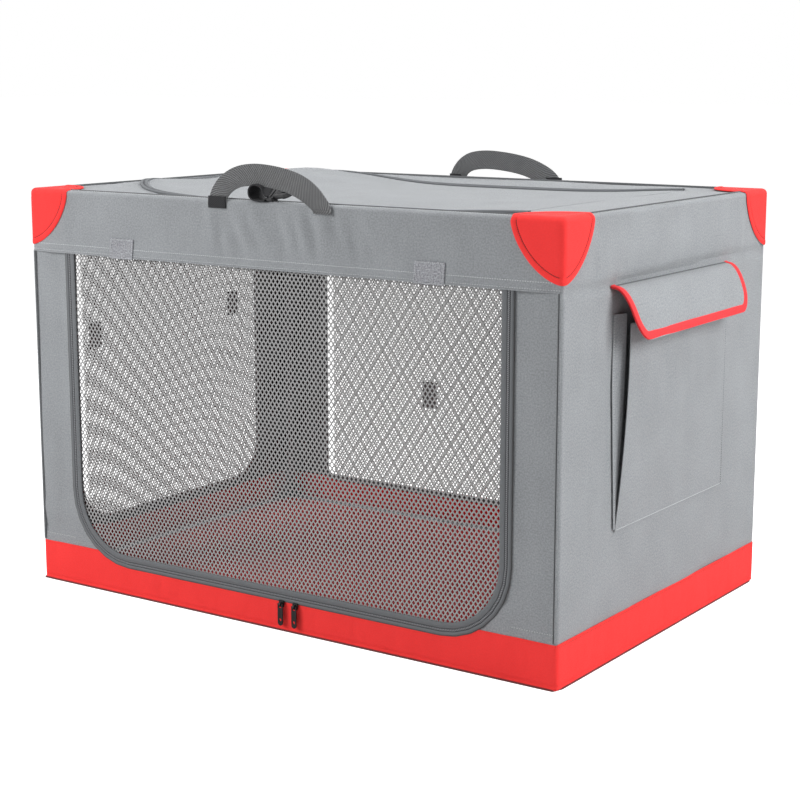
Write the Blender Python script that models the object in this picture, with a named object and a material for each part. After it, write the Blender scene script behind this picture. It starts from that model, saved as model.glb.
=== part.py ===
"""Soft folding dog crate: a cloth cabin over a steel tube frame whose four legs fold at the knee.

The origin is the middle of the underside, +X runs right along the long front, +Y to the rear and +Z up.
The front wall, with the roll-up mesh door, is at -Y. All lengths are in metres.
"""
import math

import bmesh
import bpy
from mathutils import Matrix, Vector
from mathutils.geometry import delaunay_2d_cdt

# Overall size of the crate set up, without its handles and its pocket
LENGTH = 0.910
DEPTH = 0.610
HEIGHT = 0.600

# Cloths, from the outside in, and the clearances between pieces
PATCH_CLOTH = 0.0012
COVER_CLOTH = 0.0012
WALL_CLOTH = 0.0015
FLOOR_CLOTH = 0.0015
NET_CLOTH = 0.0010
GAP = 0.0003
OVERRUN = 0.004

# Steel tube frame
TUBE_RADIUS = 0.008
TUBE_BEND = 0.025
UPPER_BEND = 0.016
FRAME_CLEARANCE = 0.002
LEG_SET_IN_X = 0.012
LEG_SET_IN_Y = 0.0115
BASE_PIVOT_RISE = 0.0222
TOP_PIVOT_DROP = 0.0188
KNEE_OFFSET = 0.011
KNEE_HALF_SPACE = 0.007
TUBE_END_SPACE = 0.0017

# Knee joints
SLEEVE_RADIUS = 0.0100
SLEEVE_LENGTH = 0.022
KNEE_EYE_RADIUS = 0.0065
TONGUE_HALF = 0.0030
EAR_THICKNESS = 0.0037
PIN_RADIUS = 0.0025
PIN_HEAD_RADIUS = 0.0045
PIN_HEAD_THICKNESS = 0.0015

# Base brackets and top clips
BRACKET_HEIGHT = 0.0205
BRACKET_REACH = 0.011
BRACKET_EAR = 0.0032
BRACKET_EAR_RADIUS = 0.0065
LEG_END_BELOW_PIVOT = 0.006
CLIP_RADIUS = 0.0103
CLIP_WRAP = 0.0015
CLIP_LENGTH = 0.016
CLIP_SET_IN = 0.079

# Red base tray and floor pad
BAND_HEIGHT = 0.062
PAD_TOP = 0.020
PAD_CLEARANCE = 0.002
PAD_CROWN = 0.0012

# Front wall and its roll-up door
HEADER_DROP = 0.093
DOOR_BORDER = 0.087
DOOR_NET_BOTTOM = 0.057
DOOR_NET_CORNER = 0.045
BINDING_WIDTH = 0.011
BINDING_CLOTH = 0.0022
ZIP_WIDTH = 0.009
ZIP_CLOTH = 0.0030

# Left wall door, rear window and the net's holes
SIDE_DOOR_BORDER = 0.090
SIDE_DOOR_NET_BOTTOM = 0.060
WINDOW_BORDER = 0.095
WINDOW_BOTTOM = 0.060
WINDOW_CORNER = 0.015
NET_SEAM = 0.008
NET_PITCH = 0.072
NET_STRAND = 0.012

# Top cover, hatch and corner patches
SKIRT = 0.015
HATCH_LEFT_BORDER = 0.064
HATCH_HINGE_BORDER = 0.110
HATCH_SIDE_BORDER = 0.064
HATCH_CORNER = 0.050
PATCH_WIDTH = 0.076
PATCH_DROP = 0.082

# Webbing handles
WEBBING_WIDTH = 0.030
WEBBING_THICKNESS = 0.0020
HANDLE_HALF = 0.090
HANDLE_RISE = 0.055
HANDLE_FOOT = 0.012
HANDLE_LEAN = 0.010
HANDLE_TILT_SHARE = 0.75

# Strap and buckle below the front handle
STRAP_WIDTH = 0.026
STRAP_LENGTH = 0.030
STRAP_RISE = 0.016
STRAP_PLACE = -0.020
BUCKLE_LENGTH = 0.040
BUCKLE_WIDTH = 0.024
BUCKLE_THICKNESS = 0.006
BUCKLE_SLOT = 0.004
PRONG_WIDTH = 0.0045

# Zip sliders and their pulls
SLIDER_PLACES = (0.0145, 0.0385)
SLIDER_WIDTH = 0.0085
SLIDER_HEIGHT = 0.0095
SLIDER_THICKNESS = 0.0032
BRIDGE_RADIUS = 0.0016
BRIDGE_WALL = 0.0011
PULL_WIDTH = 0.0085
PULL_LENGTH = 0.031
PULL_THICKNESS = 0.0016
PULL_HOLE = 0.0022
PULL_SLOT = 0.0046

# Side pocket
POCKET_FRONT_BORDER = 0.147
POCKET_REAR_BORDER = 0.133
POCKET_MOUTH_DROP = 0.145
POCKET_HEIGHT = 0.277
POCKET_BULGE = 0.022
POCKET_FOOT = 0.005
FLAP_DROP = 0.098
FLAP_FRONT_OVERHANG = 0.018
FLAP_REAR_SET_IN = 0.002
FLAP_REACH = 0.044
FLAP_FALL = 0.066
FLAP_CORNER = 0.022
FLAP_BINDING = 0.007
FLAP_CLOTH = 0.0020
FLAP_ROLL = 0.0006
POCKET_EDGE_SHARE = 0.7

# Counts
TUBE_BEVEL = 4
BEND_STEPS = 5
ROUND_SIDES = 16
PIN_SIDES = 12
ARC_STEPS = 6
PATCH_STEPS = 7
RIBBON_STEPS = 18
POCKET_ROWS = 5
POCKET_COLUMNS = 6

# Outer and inner faces of each layer of cloth, and the tubes inside them
cover_x = LENGTH / 2 - PATCH_CLOTH - GAP
cover_y = DEPTH / 2 - PATCH_CLOTH - GAP
cover_top = HEIGHT - PATCH_CLOTH - GAP
wall_x = cover_x - COVER_CLOTH - GAP
wall_y = cover_y - COVER_CLOTH - GAP
inner_x = wall_x - WALL_CLOTH
inner_y = wall_y - WALL_CLOTH
under_cover = cover_top - COVER_CLOTH
wall_foot = FLOOR_CLOTH + GAP
wall_head = under_cover - GAP
ring_x = inner_x - FRAME_CLEARANCE - TUBE_RADIUS
ring_y = inner_y - FRAME_CLEARANCE - TUBE_RADIUS
base_ring_z = wall_foot + TUBE_RADIUS
top_ring_z = under_cover - GAP - TUBE_RADIUS
leg_x = ring_x - LEG_SET_IN_X
leg_y = ring_y - LEG_SET_IN_Y
base_pivot_z = base_ring_z + BASE_PIVOT_RISE
top_pivot_z = top_ring_z - TOP_PIVOT_DROP
knee_z = (base_pivot_z + top_pivot_z) / 2
knee_x = leg_x + KNEE_OFFSET
sleeve_foot = KNEE_HALF_SPACE
tube_end = sleeve_foot + TUBE_END_SPACE + GAP
clip_place = leg_y - CLIP_SET_IN
handle_foot_z = cover_top - HANDLE_FOOT
header_bottom = HEIGHT - HEADER_DROP
door_net_half = LENGTH / 2 - DOOR_BORDER
side_door_net_half = DEPTH / 2 - SIDE_DOOR_BORDER
window_half = LENGTH / 2 - WINDOW_BORDER
hatch_left = LENGTH / 2 - HATCH_LEFT_BORDER
hatch_hinge = LENGTH / 2 - HATCH_HINGE_BORDER
hatch_half = DEPTH / 2 - HATCH_SIDE_BORDER
slider_z = DOOR_NET_BOTTOM - BINDING_WIDTH - GAP - SLIDER_HEIGHT / 2
slider_face = cover_y + GAP
pull_axis_y = -slider_face - SLIDER_THICKNESS - BRIDGE_RADIUS - GAP
pocket_front = POCKET_FRONT_BORDER - DEPTH / 2
pocket_rear = DEPTH / 2 - POCKET_REAR_BORDER
pocket_top = HEIGHT - POCKET_MOUTH_DROP
pocket_bottom = pocket_top - POCKET_HEIGHT
flap_top = HEIGHT - FLAP_DROP
flap_front = pocket_front - FLAP_FRONT_OVERHANG
flap_rear = pocket_rear - FLAP_REAR_SET_IN
flap_axis_x = wall_x + GAP + FLAP_CLOTH

CORNERS = {
    "front_left": (-1, -1),
    "front_right": (1, -1),
    "rear_left": (-1, 1),
    "rear_right": (1, 1),
}

PLANES = {
    "XY": lambda u, v, w: Vector((u, v, w)),
    "XZ": lambda u, v, w: Vector((u, w, v)),
    "YZ": lambda u, v, w: Vector((w, u, v)),
}


def clear_scene():
    """Removes what the scene holds."""
    for thing in list(bpy.data.objects):
        bpy.data.objects.remove(thing, do_unlink=True)


def finish(name, colour, roughness, metallic=0.0):
    """A Principled material with one plain colour."""
    material = bpy.data.materials.new(name)
    material.use_nodes = True
    shader = material.node_tree.nodes["Principled BSDF"]
    shader.inputs["Base Color"].default_value = (*colour, 1.0)
    shader.inputs["Roughness"].default_value = roughness
    shader.inputs["Metallic"].default_value = metallic
    material.diffuse_color = (*colour, 1.0)
    return material


def add_empty(name, place, parent=None):
    """An empty on a joint's axis, which carries the pieces that move with it."""
    empty = bpy.data.objects.new(name, None)
    bpy.context.scene.collection.objects.link(empty)
    empty.location = place
    if parent is not None:
        empty.parent = parent
        empty.location = Vector(place) - world_place(parent)
    return empty


def world_place(thing):
    """Where an unturned object stands, through its parents."""
    place = Vector((0, 0, 0))
    while thing is not None:
        place += thing.location
        thing = thing.parent
    return place


def add_object(name, mesh, material, carrier=None, at=(0, 0, 0), turn=0.0):
    """Puts a mesh in the scene as one named piece, carried by an empty where it moves."""
    piece = bpy.data.objects.new(name, mesh)
    bpy.context.scene.collection.objects.link(piece)
    piece.location = at
    piece.rotation_euler = (0, 0, turn)
    if carrier is not None:
        piece.parent = carrier
        piece.location = Vector(at) - world_place(carrier)
    if not mesh.materials:
        mesh.materials.append(material)
    return piece


def to_mesh(name, form):
    """Closes a bmesh into a mesh with its faces pointing out."""
    bmesh.ops.recalc_face_normals(form, faces=form.faces)
    mesh = bpy.data.meshes.new(name)
    form.to_mesh(mesh)
    form.free()
    return mesh


def smooth(mesh, angle=math.radians(40)):
    """Shades a round piece smooth, with its sharp edges kept."""
    mesh.shade_smooth()
    mesh.set_sharp_from_angle(angle=angle)
    return mesh


def arc(centre, radius, start, stop, steps):
    """Points along an arc, in degrees, with both ends."""
    points = []
    for k in range(steps + 1):
        angle = math.radians(start + (stop - start) * k / steps)
        points.append((centre[0] + radius * math.cos(angle), centre[1] + radius * math.sin(angle)))
    return points


def circle(centre, radius, sides):
    """A full circle's points."""
    return arc(centre, radius, 0, 360, sides)[:-1]


def box_outline(low_u, high_u, low_v, high_v):
    """A rectangle's corners."""
    return [(low_u, low_v), (high_u, low_v), (high_u, high_v), (low_u, high_v)]


def doorway(half, foot, head, corner):
    """The outline of a door with square upper and round lower corners, from its upper left corner down."""
    points = [(-half, head)]
    points += arc((-half + corner, foot + corner), corner, 180, 270, ARC_STEPS)
    points += arc((half - corner, foot + corner), corner, 270, 360, ARC_STEPS)
    points.append((half, head))
    return points


def prism(outline, low, high, plane="XY", holes=()):
    """A flat outline, with any holes, extruded square to its plane from low to high."""
    loops = [list(outline), *[list(hole) for hole in holes]]
    points = [Vector(p) for loop in loops for p in loop]
    rims = []
    first = 0
    for loop in loops:
        rims.append(list(range(first, first + len(loop))))
        first += len(loop)
    flat = delaunay_2d_cdt(points, [], rims, 2, min(abs(high - low), GAP) / len(points))
    place = PLANES[plane]
    form = bmesh.new()
    lower = [form.verts.new(place(p.x, p.y, low)) for p in flat[0]]
    upper = [form.verts.new(place(p.x, p.y, high)) for p in flat[0]]
    sides = {}
    for face in flat[2]:
        form.faces.new([lower[k] for k in reversed(face)])
        form.faces.new([upper[k] for k in face])
        for k, vertex in enumerate(face):
            pair = (vertex, face[(k + 1) % len(face)])
            if (pair[1], pair[0]) in sides:
                del sides[pair[1], pair[0]]
            else:
                sides[pair] = True
    for a, b in sides:
        form.faces.new([lower[a], lower[b], upper[b], upper[a]])
    return form


def round_prism(centre, radius, low, high, plane, sides=ROUND_SIDES):
    """A cylinder along the third axis of its plane."""
    return prism(circle(centre, radius, sides), low, high, plane)


def outside(radius, sides):
    """The corner radius of a polygon whose flats lie a clearance outside a round bar."""
    return (radius + GAP) / math.cos(math.pi / sides)


def modify(piece, operation, form, name):
    """Joins a form to a piece, or cuts it out, with a Boolean that keeps its tool in the scene."""
    tool = bpy.data.objects.new(name, to_mesh(name, form))
    bpy.context.scene.collection.objects.link(tool)
    tool.hide_render = True
    tool.display_type = "WIRE"
    change = piece.modifiers.new(name, "BOOLEAN")
    change.operation = operation
    change.solver = "EXACT"
    change.object = tool
    return tool


def baked(name, form, changes):
    """A mesh made once from a form and its Boolean changes, to be shared by several pieces."""
    work = bpy.data.objects.new(name, to_mesh(name, form))
    bpy.context.scene.collection.objects.link(work)
    tools = [modify(work, operation, other, f"{name}_{k}") for k, (operation, other) in enumerate(changes)]
    sight = bpy.context.evaluated_depsgraph_get()
    mesh = bpy.data.meshes.new_from_object(work.evaluated_get(sight))
    mesh.name = name
    for thing in (work, *tools):
        bpy.data.objects.remove(thing, do_unlink=True)
    return mesh


def mirrored(mesh, name):
    """A copy of a mesh mirrored across the plane at Y = 0."""
    form = bmesh.new()
    form.from_mesh(mesh)
    bmesh.ops.transform(form, matrix=Matrix.Scale(-1, 4, (0, 1, 0)), verts=form.verts)
    bmesh.ops.reverse_faces(form, faces=form.faces)
    return to_mesh(name, form)


def bent(corners, bend, closed):
    """A route with each corner rounded to the bend's radius."""
    count = len(corners)
    points = []
    for k, corner in enumerate(corners):
        here = Vector(corner)
        if not closed and k in (0, count - 1):
            points.append(here)
            continue
        back = (Vector(corners[k - 1]) - here).normalized()
        ahead = (Vector(corners[(k + 1) % count]) - here).normalized()
        middle = here + (back + ahead) * bend
        for step in range(BEND_STEPS + 1):
            turn = math.pi / 2 * step / BEND_STEPS
            points.append(middle - ahead * bend * math.cos(turn) - back * bend * math.sin(turn))
    return points


def bar(name, route, radius, closed=False):
    """A round bar along a route, as a mesh."""
    curve = bpy.data.curves.new(name, "CURVE")
    curve.dimensions = "3D"
    curve.bevel_depth = radius
    curve.bevel_resolution = TUBE_BEVEL
    curve.use_fill_caps = not closed
    spline = curve.splines.new("POLY")
    spline.points.add(len(route) - 1)
    for point, place in zip(spline.points, route):
        point.co = (*place, 1)
    spline.use_cyclic_u = closed
    work = bpy.data.objects.new(name, curve)
    bpy.context.scene.collection.objects.link(work)
    sight = bpy.context.evaluated_depsgraph_get()
    mesh = bpy.data.meshes.new_from_object(work.evaluated_get(sight))
    bpy.data.objects.remove(work, do_unlink=True)
    form = bmesh.new()
    form.from_mesh(mesh)
    bmesh.ops.remove_doubles(form, verts=form.verts, dist=radius / 1000)
    return smooth(to_mesh(name, form))


def ring_route(height):
    """The corners of a frame ring at a height."""
    return [(x, y, height) for x, y in box_outline(-ring_x, ring_x, -ring_y, ring_y)]


def make_rings(steel, top):
    """The tube rings that the base and the top are stretched over."""
    base = bar("base_frame", bent(ring_route(base_ring_z), TUBE_BEND, True), TUBE_RADIUS, True)
    add_object("base_frame", base, steel)
    upper = bar("top_frame", bent(ring_route(top_ring_z), TUBE_BEND, True), TUBE_RADIUS, True)
    add_object("top_frame", upper, steel, top)


def lower_leg_mesh():
    """A straight tube with a cross bore for the base pivot, which is its origin."""
    foot = -LEG_END_BELOW_PIVOT
    head = knee_z - base_pivot_z - tube_end
    form = round_prism((0, 0), TUBE_RADIUS, foot, head, "XY", PIN_SIDES)
    bore = round_prism((0, 0), outside(PIN_RADIUS, PIN_SIDES), -TUBE_RADIUS - OVERRUN,
                       TUBE_RADIUS + OVERRUN, "XZ", PIN_SIDES)
    return smooth(baked("lower_leg", form, [("DIFFERENCE", bore)]))


def upper_frame_mesh():
    """An upside-down U of tube, with the middle of its cross bar as its origin."""
    foot = knee_z + tube_end - top_pivot_z
    corners = [(0, -leg_y, foot), (0, -leg_y, 0), (0, leg_y, 0), (0, leg_y, foot)]
    return bar("upper_frame", bent(corners, UPPER_BEND, False), TUBE_RADIUS)


def knee_side(reach):
    """The side outline of a knee: an eye round the pin and an arm that reaches left to the sleeve."""
    arm = KNEE_OFFSET + SLEEVE_RADIUS - GAP
    points = arc((0, 0), KNEE_EYE_RADIUS, 90, -90, ARC_STEPS * 2)
    points = [(u, v) for u, v in points]
    if reach > 0:
        stop = -sleeve_foot + GAP
        return [*points, (-KNEE_EYE_RADIUS / 2, stop), (-arm, stop), (-arm, reach), (-GAP * 4, reach)]
    return [*points, (-GAP * 4, reach), (-arm, reach), (-arm, -GAP * 4)]


def knee_tongue_mesh():
    """The upper half of a knee: a cup round the upper tube and a plate with an eye, about the pin."""
    low = sleeve_foot
    high = sleeve_foot + SLEEVE_LENGTH
    cup = round_prism((-KNEE_OFFSET, 0), SLEEVE_RADIUS, low, high, "XY")
    plate = prism(knee_side(low + TUBE_END_SPACE), -TONGUE_HALF, TONGUE_HALF, "XZ")
    seat = round_prism((-KNEE_OFFSET, 0), outside(TUBE_RADIUS, ROUND_SIDES), low + TUBE_END_SPACE,
                       high + OVERRUN, "XY")
    eye = round_prism((0, 0), outside(PIN_RADIUS, PIN_SIDES), -TONGUE_HALF - OVERRUN,
                      TONGUE_HALF + OVERRUN, "XZ", PIN_SIDES)
    return smooth(baked("knee_tongue", cup, [("UNION", plate), ("DIFFERENCE", seat), ("DIFFERENCE", eye)]))


def knee_fork_mesh():
    """The lower half of a knee: a cup round the lower tube and two ears beside the tongue."""
    high = -sleeve_foot
    low = -sleeve_foot - SLEEVE_LENGTH
    inner = TONGUE_HALF + GAP
    outer = inner + EAR_THICKNESS
    cup = round_prism((-KNEE_OFFSET, 0), SLEEVE_RADIUS, low, high, "XY")
    side = knee_side(high - TUBE_END_SPACE)
    ears = [prism(side, inner, outer, "XZ"), prism(side, -outer, -inner, "XZ")]
    seat = round_prism((-KNEE_OFFSET, 0), outside(TUBE_RADIUS, ROUND_SIDES), low - OVERRUN,
                       high - TUBE_END_SPACE, "XY")
    eye = round_prism((0, 0), outside(PIN_RADIUS, PIN_SIDES), -outer - OVERRUN, outer + OVERRUN,
                      "XZ", PIN_SIDES)
    changes = [("UNION", ears[0]), ("UNION", ears[1]), ("DIFFERENCE", seat), ("DIFFERENCE", eye)]
    return smooth(baked("knee_fork", cup, changes))


def knee_pin_mesh():
    """A rivet through the ears and the tongue, with a head at each end."""
    reach = TONGUE_HALF + GAP + EAR_THICKNESS + GAP
    form = round_prism((0, 0), PIN_RADIUS, -reach - PIN_HEAD_THICKNESS / 2,
                       reach + PIN_HEAD_THICKNESS / 2, "XZ", PIN_SIDES)
    heads = []
    for side in (-1, 1):
        ends = sorted((side * reach, side * (reach + PIN_HEAD_THICKNESS)))
        heads.append(("UNION", round_prism((0, 0), PIN_HEAD_RADIUS, *ends, "XZ", PIN_SIDES)))
    return smooth(baked("knee_pin", form, heads))


def base_bracket_mesh():
    """A moulded corner of the rear right base: a block over the ring's bend, two ears and their stud."""
    outer_x = inner_x - GAP
    outer_y = inner_y - GAP
    low = wall_foot + GAP
    ear_reach = TUBE_RADIUS + GAP + BRACKET_EAR
    plan = box_outline(leg_x - BRACKET_REACH, outer_x, leg_y - ear_reach, outer_y)
    block = prism(plan, low, BRACKET_HEIGHT)
    side = [(leg_x - BRACKET_EAR_RADIUS, BRACKET_HEIGHT - BRACKET_EAR / 2)]
    side += arc((leg_x, base_pivot_z), BRACKET_EAR_RADIUS, 180, 0, ARC_STEPS * 2)
    side.append((leg_x + BRACKET_EAR_RADIUS, BRACKET_HEIGHT - BRACKET_EAR / 2))
    changes = []
    for low_y in (leg_y - ear_reach, leg_y + TUBE_RADIUS + GAP):
        changes.append(("UNION", prism(side, low_y, low_y + BRACKET_EAR, "XZ")))
    stud = round_prism((leg_x, base_pivot_z), PIN_RADIUS, leg_y - ear_reach + BRACKET_EAR / 2,
                       leg_y + ear_reach - BRACKET_EAR / 2, "XZ", PIN_SIDES)
    changes.append(("UNION", stud))
    corner = [(ring_x, 0, base_ring_z), (ring_x, ring_y, base_ring_z), (0, ring_y, base_ring_z)]
    way = bar("ring_way", bent(corner, TUBE_BEND, False), outside(TUBE_RADIUS, PIN_SIDES))
    form = bmesh.new()
    form.from_mesh(way)
    changes.append(("DIFFERENCE", form))
    return baked("base_bracket", block, changes)


def top_clip_mesh():
    """A snap clip of the right end: closed round the cross bar and open round the top ring's rail."""
    along = Vector((ring_x - leg_x, top_ring_z - top_pivot_z))
    span = along.length
    along.normalize()
    across = Vector((along.y, -along.x))
    outline = arc((0, 0), CLIP_RADIUS, 90, 270, ROUND_SIDES // 2)
    outline += [(span + CLIP_WRAP, -CLIP_RADIUS), (span + CLIP_WRAP, CLIP_RADIUS)]

    def stand(points):
        """Turns points from along and across the clip to the side view."""
        return [tuple(Vector((leg_x, top_pivot_z)) + along * u + across * v) for u, v in points]

    form = prism(stand(outline), -CLIP_LENGTH / 2, CLIP_LENGTH / 2, "XZ")
    bore = outside(TUBE_RADIUS, ROUND_SIDES)
    changes = []
    for place in (0, span):
        hole = stand(circle((place, 0), bore, ROUND_SIDES))
        changes.append(("DIFFERENCE", prism(hole, -CLIP_LENGTH, CLIP_LENGTH, "XZ")))
    return smooth(baked("top_clip", form, changes))


def make_folding_frame(steel, moulding, rivet, carriers):
    """The legs, knees, brackets and clips, each made once and placed at every corner."""
    leg = lower_leg_mesh()
    upper = upper_frame_mesh()
    tongue = knee_tongue_mesh()
    fork = knee_fork_mesh()
    pin = knee_pin_mesh()
    bracket = base_bracket_mesh()
    bracket_other = mirrored(bracket, "base_bracket_other_hand")
    clip = top_clip_mesh()
    for end, side in (("left", -1), ("right", 1)):
        place = (side * leg_x, 0, top_pivot_z)
        add_object(f"upper_frame_{end}", upper, steel, carriers[f"{end}_upper"], place)
    for corner, (x, y) in CORNERS.items():
        end = "left" if x < 0 else "right"
        turn = math.pi if x < 0 else 0.0
        lower = carriers[f"{end}_lower"]
        add_object(f"lower_leg_{corner}", leg, steel, lower, (x * leg_x, y * leg_y, base_pivot_z))
        knee = (x * knee_x, y * leg_y, knee_z)
        add_object(f"knee_fork_{corner}", fork, moulding, lower, knee, turn)
        add_object(f"knee_pin_{corner}", pin, rivet, lower, knee)
        add_object(f"knee_tongue_{corner}", tongue, moulding, carriers[f"{end}_upper"], knee, turn)
        hand = bracket if x * y > 0 else bracket_other
        add_object(f"base_bracket_{corner}", hand, moulding, None, (0, 0, 0), turn)
        add_object(f"top_clip_{corner}", clip, moulding, carriers["top"], (0, y * clip_place, 0), turn)


def make_base(red, pad_cloth):
    """The red tray of the base, notched below the front door, and the padded floor in it."""
    tray = prism(box_outline(-cover_x, cover_x, -cover_y, cover_y), 0, BAND_HEIGHT)
    piece = add_object("base_tray", to_mesh("base_tray", tray), red)
    inside_x = cover_x - COVER_CLOTH
    inside_y = cover_y - COVER_CLOTH
    hollow = prism(box_outline(-inside_x, inside_x, -inside_y, inside_y), FLOOR_CLOTH, BAND_HEIGHT + OVERRUN)
    modify(piece, "DIFFERENCE", hollow, "tray_hollow")
    rim = BINDING_WIDTH + GAP + ZIP_WIDTH + GAP
    notch = doorway(door_net_half + rim, DOOR_NET_BOTTOM - rim, BAND_HEIGHT + OVERRUN, DOOR_NET_CORNER + rim)
    modify(piece, "DIFFERENCE", prism(notch, -cover_y - OVERRUN, -wall_y, "XZ"), "door_notch")
    side_rim = BINDING_WIDTH + GAP + ZIP_WIDTH + GAP
    side = doorway(side_door_net_half + side_rim, SIDE_DOOR_NET_BOTTOM - side_rim, BAND_HEIGHT + OVERRUN,
                   DOOR_NET_CORNER + side_rim)
    modify(piece, "DIFFERENCE", prism(side, -cover_x - OVERRUN, -wall_x, "YZ"), "side_door_notch")

    long = ring_x - TUBE_RADIUS - PAD_CLEARANCE
    wide = ring_y - TUBE_RADIUS - PAD_CLEARANCE
    short = leg_x - BRACKET_REACH - GAP
    narrow = leg_y - TUBE_RADIUS - GAP - BRACKET_EAR - GAP
    quarter = [(long, narrow), (short, narrow), (short, wide)]
    outline = quarter + [(-u, v) for u, v in reversed(quarter)]
    outline += [(-u, -v) for u, v in quarter] + [(u, -v) for u, v in reversed(quarter)]
    pad = prism(outline, wall_foot, PAD_TOP - PAD_CROWN)
    share = 1 - PAD_CROWN / wide
    crown = prism([(u * share, v * share) for u, v in outline], PAD_TOP - PAD_CROWN * 2, PAD_TOP)
    cushion = add_object("floor_pad", to_mesh("floor_pad", pad), pad_cloth)
    modify(cushion, "UNION", crown, "pad_crown")


def door_band(half, foot, head, corner, width):
    """The outline of a band of one width along a door's sides and foot."""
    outer = doorway(half + width, foot - width, head, corner + width)
    inner = doorway(half, foot, head, corner)
    return outer + inner[::-1]


def net_holes(half, foot, head, corner):
    """Diamond holes of a coarse net in staggered rows, kept inside a seam round the edge."""
    reach = (NET_PITCH - NET_STRAND) / 2
    step = NET_PITCH / 2
    rows = int((head - foot - 2 * (NET_SEAM + reach)) / step) + 1
    first = (foot + head - (rows - 1) * step) / 2
    holes = []
    for row in range(rows):
        v = first + row * step
        drop = min(corner, max(0, foot + corner - v + reach / 2))
        slide = corner - math.sqrt(corner ** 2 - drop ** 2)
        edge = half - NET_SEAM - reach - slide
        columns = int(edge / NET_PITCH) * 2 + 1
        if row % 2:
            columns = int((edge + step) / NET_PITCH) * 2
        for column in range(columns):
            u = (column - (columns - 1) / 2) * NET_PITCH
            holes.append([(u - reach, v), (u, v - reach), (u + reach, v), (u, v + reach)])
    return holes


def door_pieces(prefix, half, foot, plane, face, sign, materials, carrier):
    """A mesh door: its net, the binding sewn round it, and the zip tape that stays on the wall."""
    net_cloth, tape, zip_tape = materials
    head = header_bottom - GAP
    corner = DOOR_NET_CORNER
    net_low, net_high = sorted((sign * (face - WALL_CLOTH), sign * (face - WALL_CLOTH + NET_CLOTH)))
    holes = net_holes(half, foot, head, corner)
    net = prism(doorway(half, foot, head, corner), net_low, net_high, plane, holes)
    add_object(f"{prefix}_door_net", to_mesh(f"{prefix}_door_net", net), net_cloth, carrier)
    low, high = sorted((sign * (face - WALL_CLOTH), sign * (face - WALL_CLOTH + BINDING_CLOTH)))
    band = door_band(half + GAP, foot - GAP, head, corner + GAP, BINDING_WIDTH - GAP)
    binding = prism(band, low, high, plane)
    add_object(f"{prefix}_door_binding", to_mesh(f"{prefix}_door_binding", binding), tape, carrier)
    low, high = sorted((sign * (face - WALL_CLOTH), sign * (face - WALL_CLOTH + ZIP_CLOTH)))
    rim = BINDING_WIDTH + GAP
    tape_band = door_band(half + rim, foot - rim, head, corner + rim, ZIP_WIDTH)
    strip = prism(tape_band, low, high, plane)
    add_object(f"{prefix}_zip", to_mesh(f"{prefix}_zip", strip), zip_tape)


def make_walls(grey, net_cloth):
    """The cloth walls: the front in a header and two panels, the two ends, and the rear with its window."""
    rim = BINDING_WIDTH + GAP + ZIP_WIDTH + GAP
    front = prism(box_outline(-wall_x, wall_x, header_bottom, wall_head), -wall_y, -inner_y, "XZ")
    add_object("front_header", to_mesh("front_header", front), grey)
    edge = door_net_half + rim
    corner = DOOR_NET_CORNER + rim
    foot = DOOR_NET_BOTTOM - rim
    for end, side in (("left", -1), ("right", 1)):
        outline = [(side * wall_x, wall_foot), (side * (edge - corner), wall_foot)]
        turn = arc((edge - corner, foot + corner), corner, 270, 360, ARC_STEPS)
        outline += [(side * u, v) for u, v in turn]
        outline += [(side * edge, header_bottom - GAP), (side * wall_x, header_bottom - GAP)]
        panel = prism(outline, -wall_y, -inner_y, "XZ")
        add_object(f"front_panel_{end}", to_mesh(f"front_panel_{end}", panel), grey)

    window = box_outline(-window_half, window_half, WINDOW_BOTTOM, header_bottom)
    rounded = []
    for (u, v), start in zip(window, (180, 270, 0, 90)):
        middle = (u - math.copysign(WINDOW_CORNER, u),
                  v + (WINDOW_CORNER if v < header_bottom else -WINDOW_CORNER))
        rounded += arc(middle, WINDOW_CORNER, start, start + 90, ARC_STEPS // 2)
    rear = prism(box_outline(-wall_x, wall_x, wall_foot, wall_head), inner_y, wall_y, "XZ", [rounded])
    add_object("rear_panel", to_mesh("rear_panel", rear), grey)
    reach = window_half + NET_SEAM
    low = WINDOW_BOTTOM - NET_SEAM
    high = header_bottom + NET_SEAM
    holes = net_holes(reach - NET_SEAM, low + NET_SEAM, high - NET_SEAM, 0)
    net = prism(box_outline(-reach, reach, low, high), inner_y - GAP - NET_CLOTH, inner_y - GAP, "XZ", holes)
    add_object("rear_window_net", to_mesh("rear_window_net", net), net_cloth)

    end_y = inner_y - GAP
    side_edge = side_door_net_half + rim
    side_foot = SIDE_DOOR_NET_BOTTOM - rim
    opening = doorway(side_edge, side_foot, header_bottom, corner)
    left = prism(box_outline(-end_y, end_y, wall_foot, wall_head), -wall_x, -inner_x, "YZ", [opening])
    add_object("left_panel", to_mesh("left_panel", left), grey)
    right = prism(box_outline(-end_y, end_y, wall_foot, wall_head), inner_x, wall_x, "YZ")
    add_object("right_panel", to_mesh("right_panel", right), grey)


def hatch_outline(grow):
    """The hatch's outline, grown by a width on its three free sides."""
    left = -hatch_left - grow
    half = hatch_half + grow
    corner = HATCH_CORNER + grow
    points = [(hatch_hinge, half)]
    points += arc((left + corner, half - corner), corner, 90, 180, ARC_STEPS)
    points += arc((left + corner, -half + corner), corner, 180, 270, ARC_STEPS)
    points.append((hatch_hinge, -half))
    return points


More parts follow.
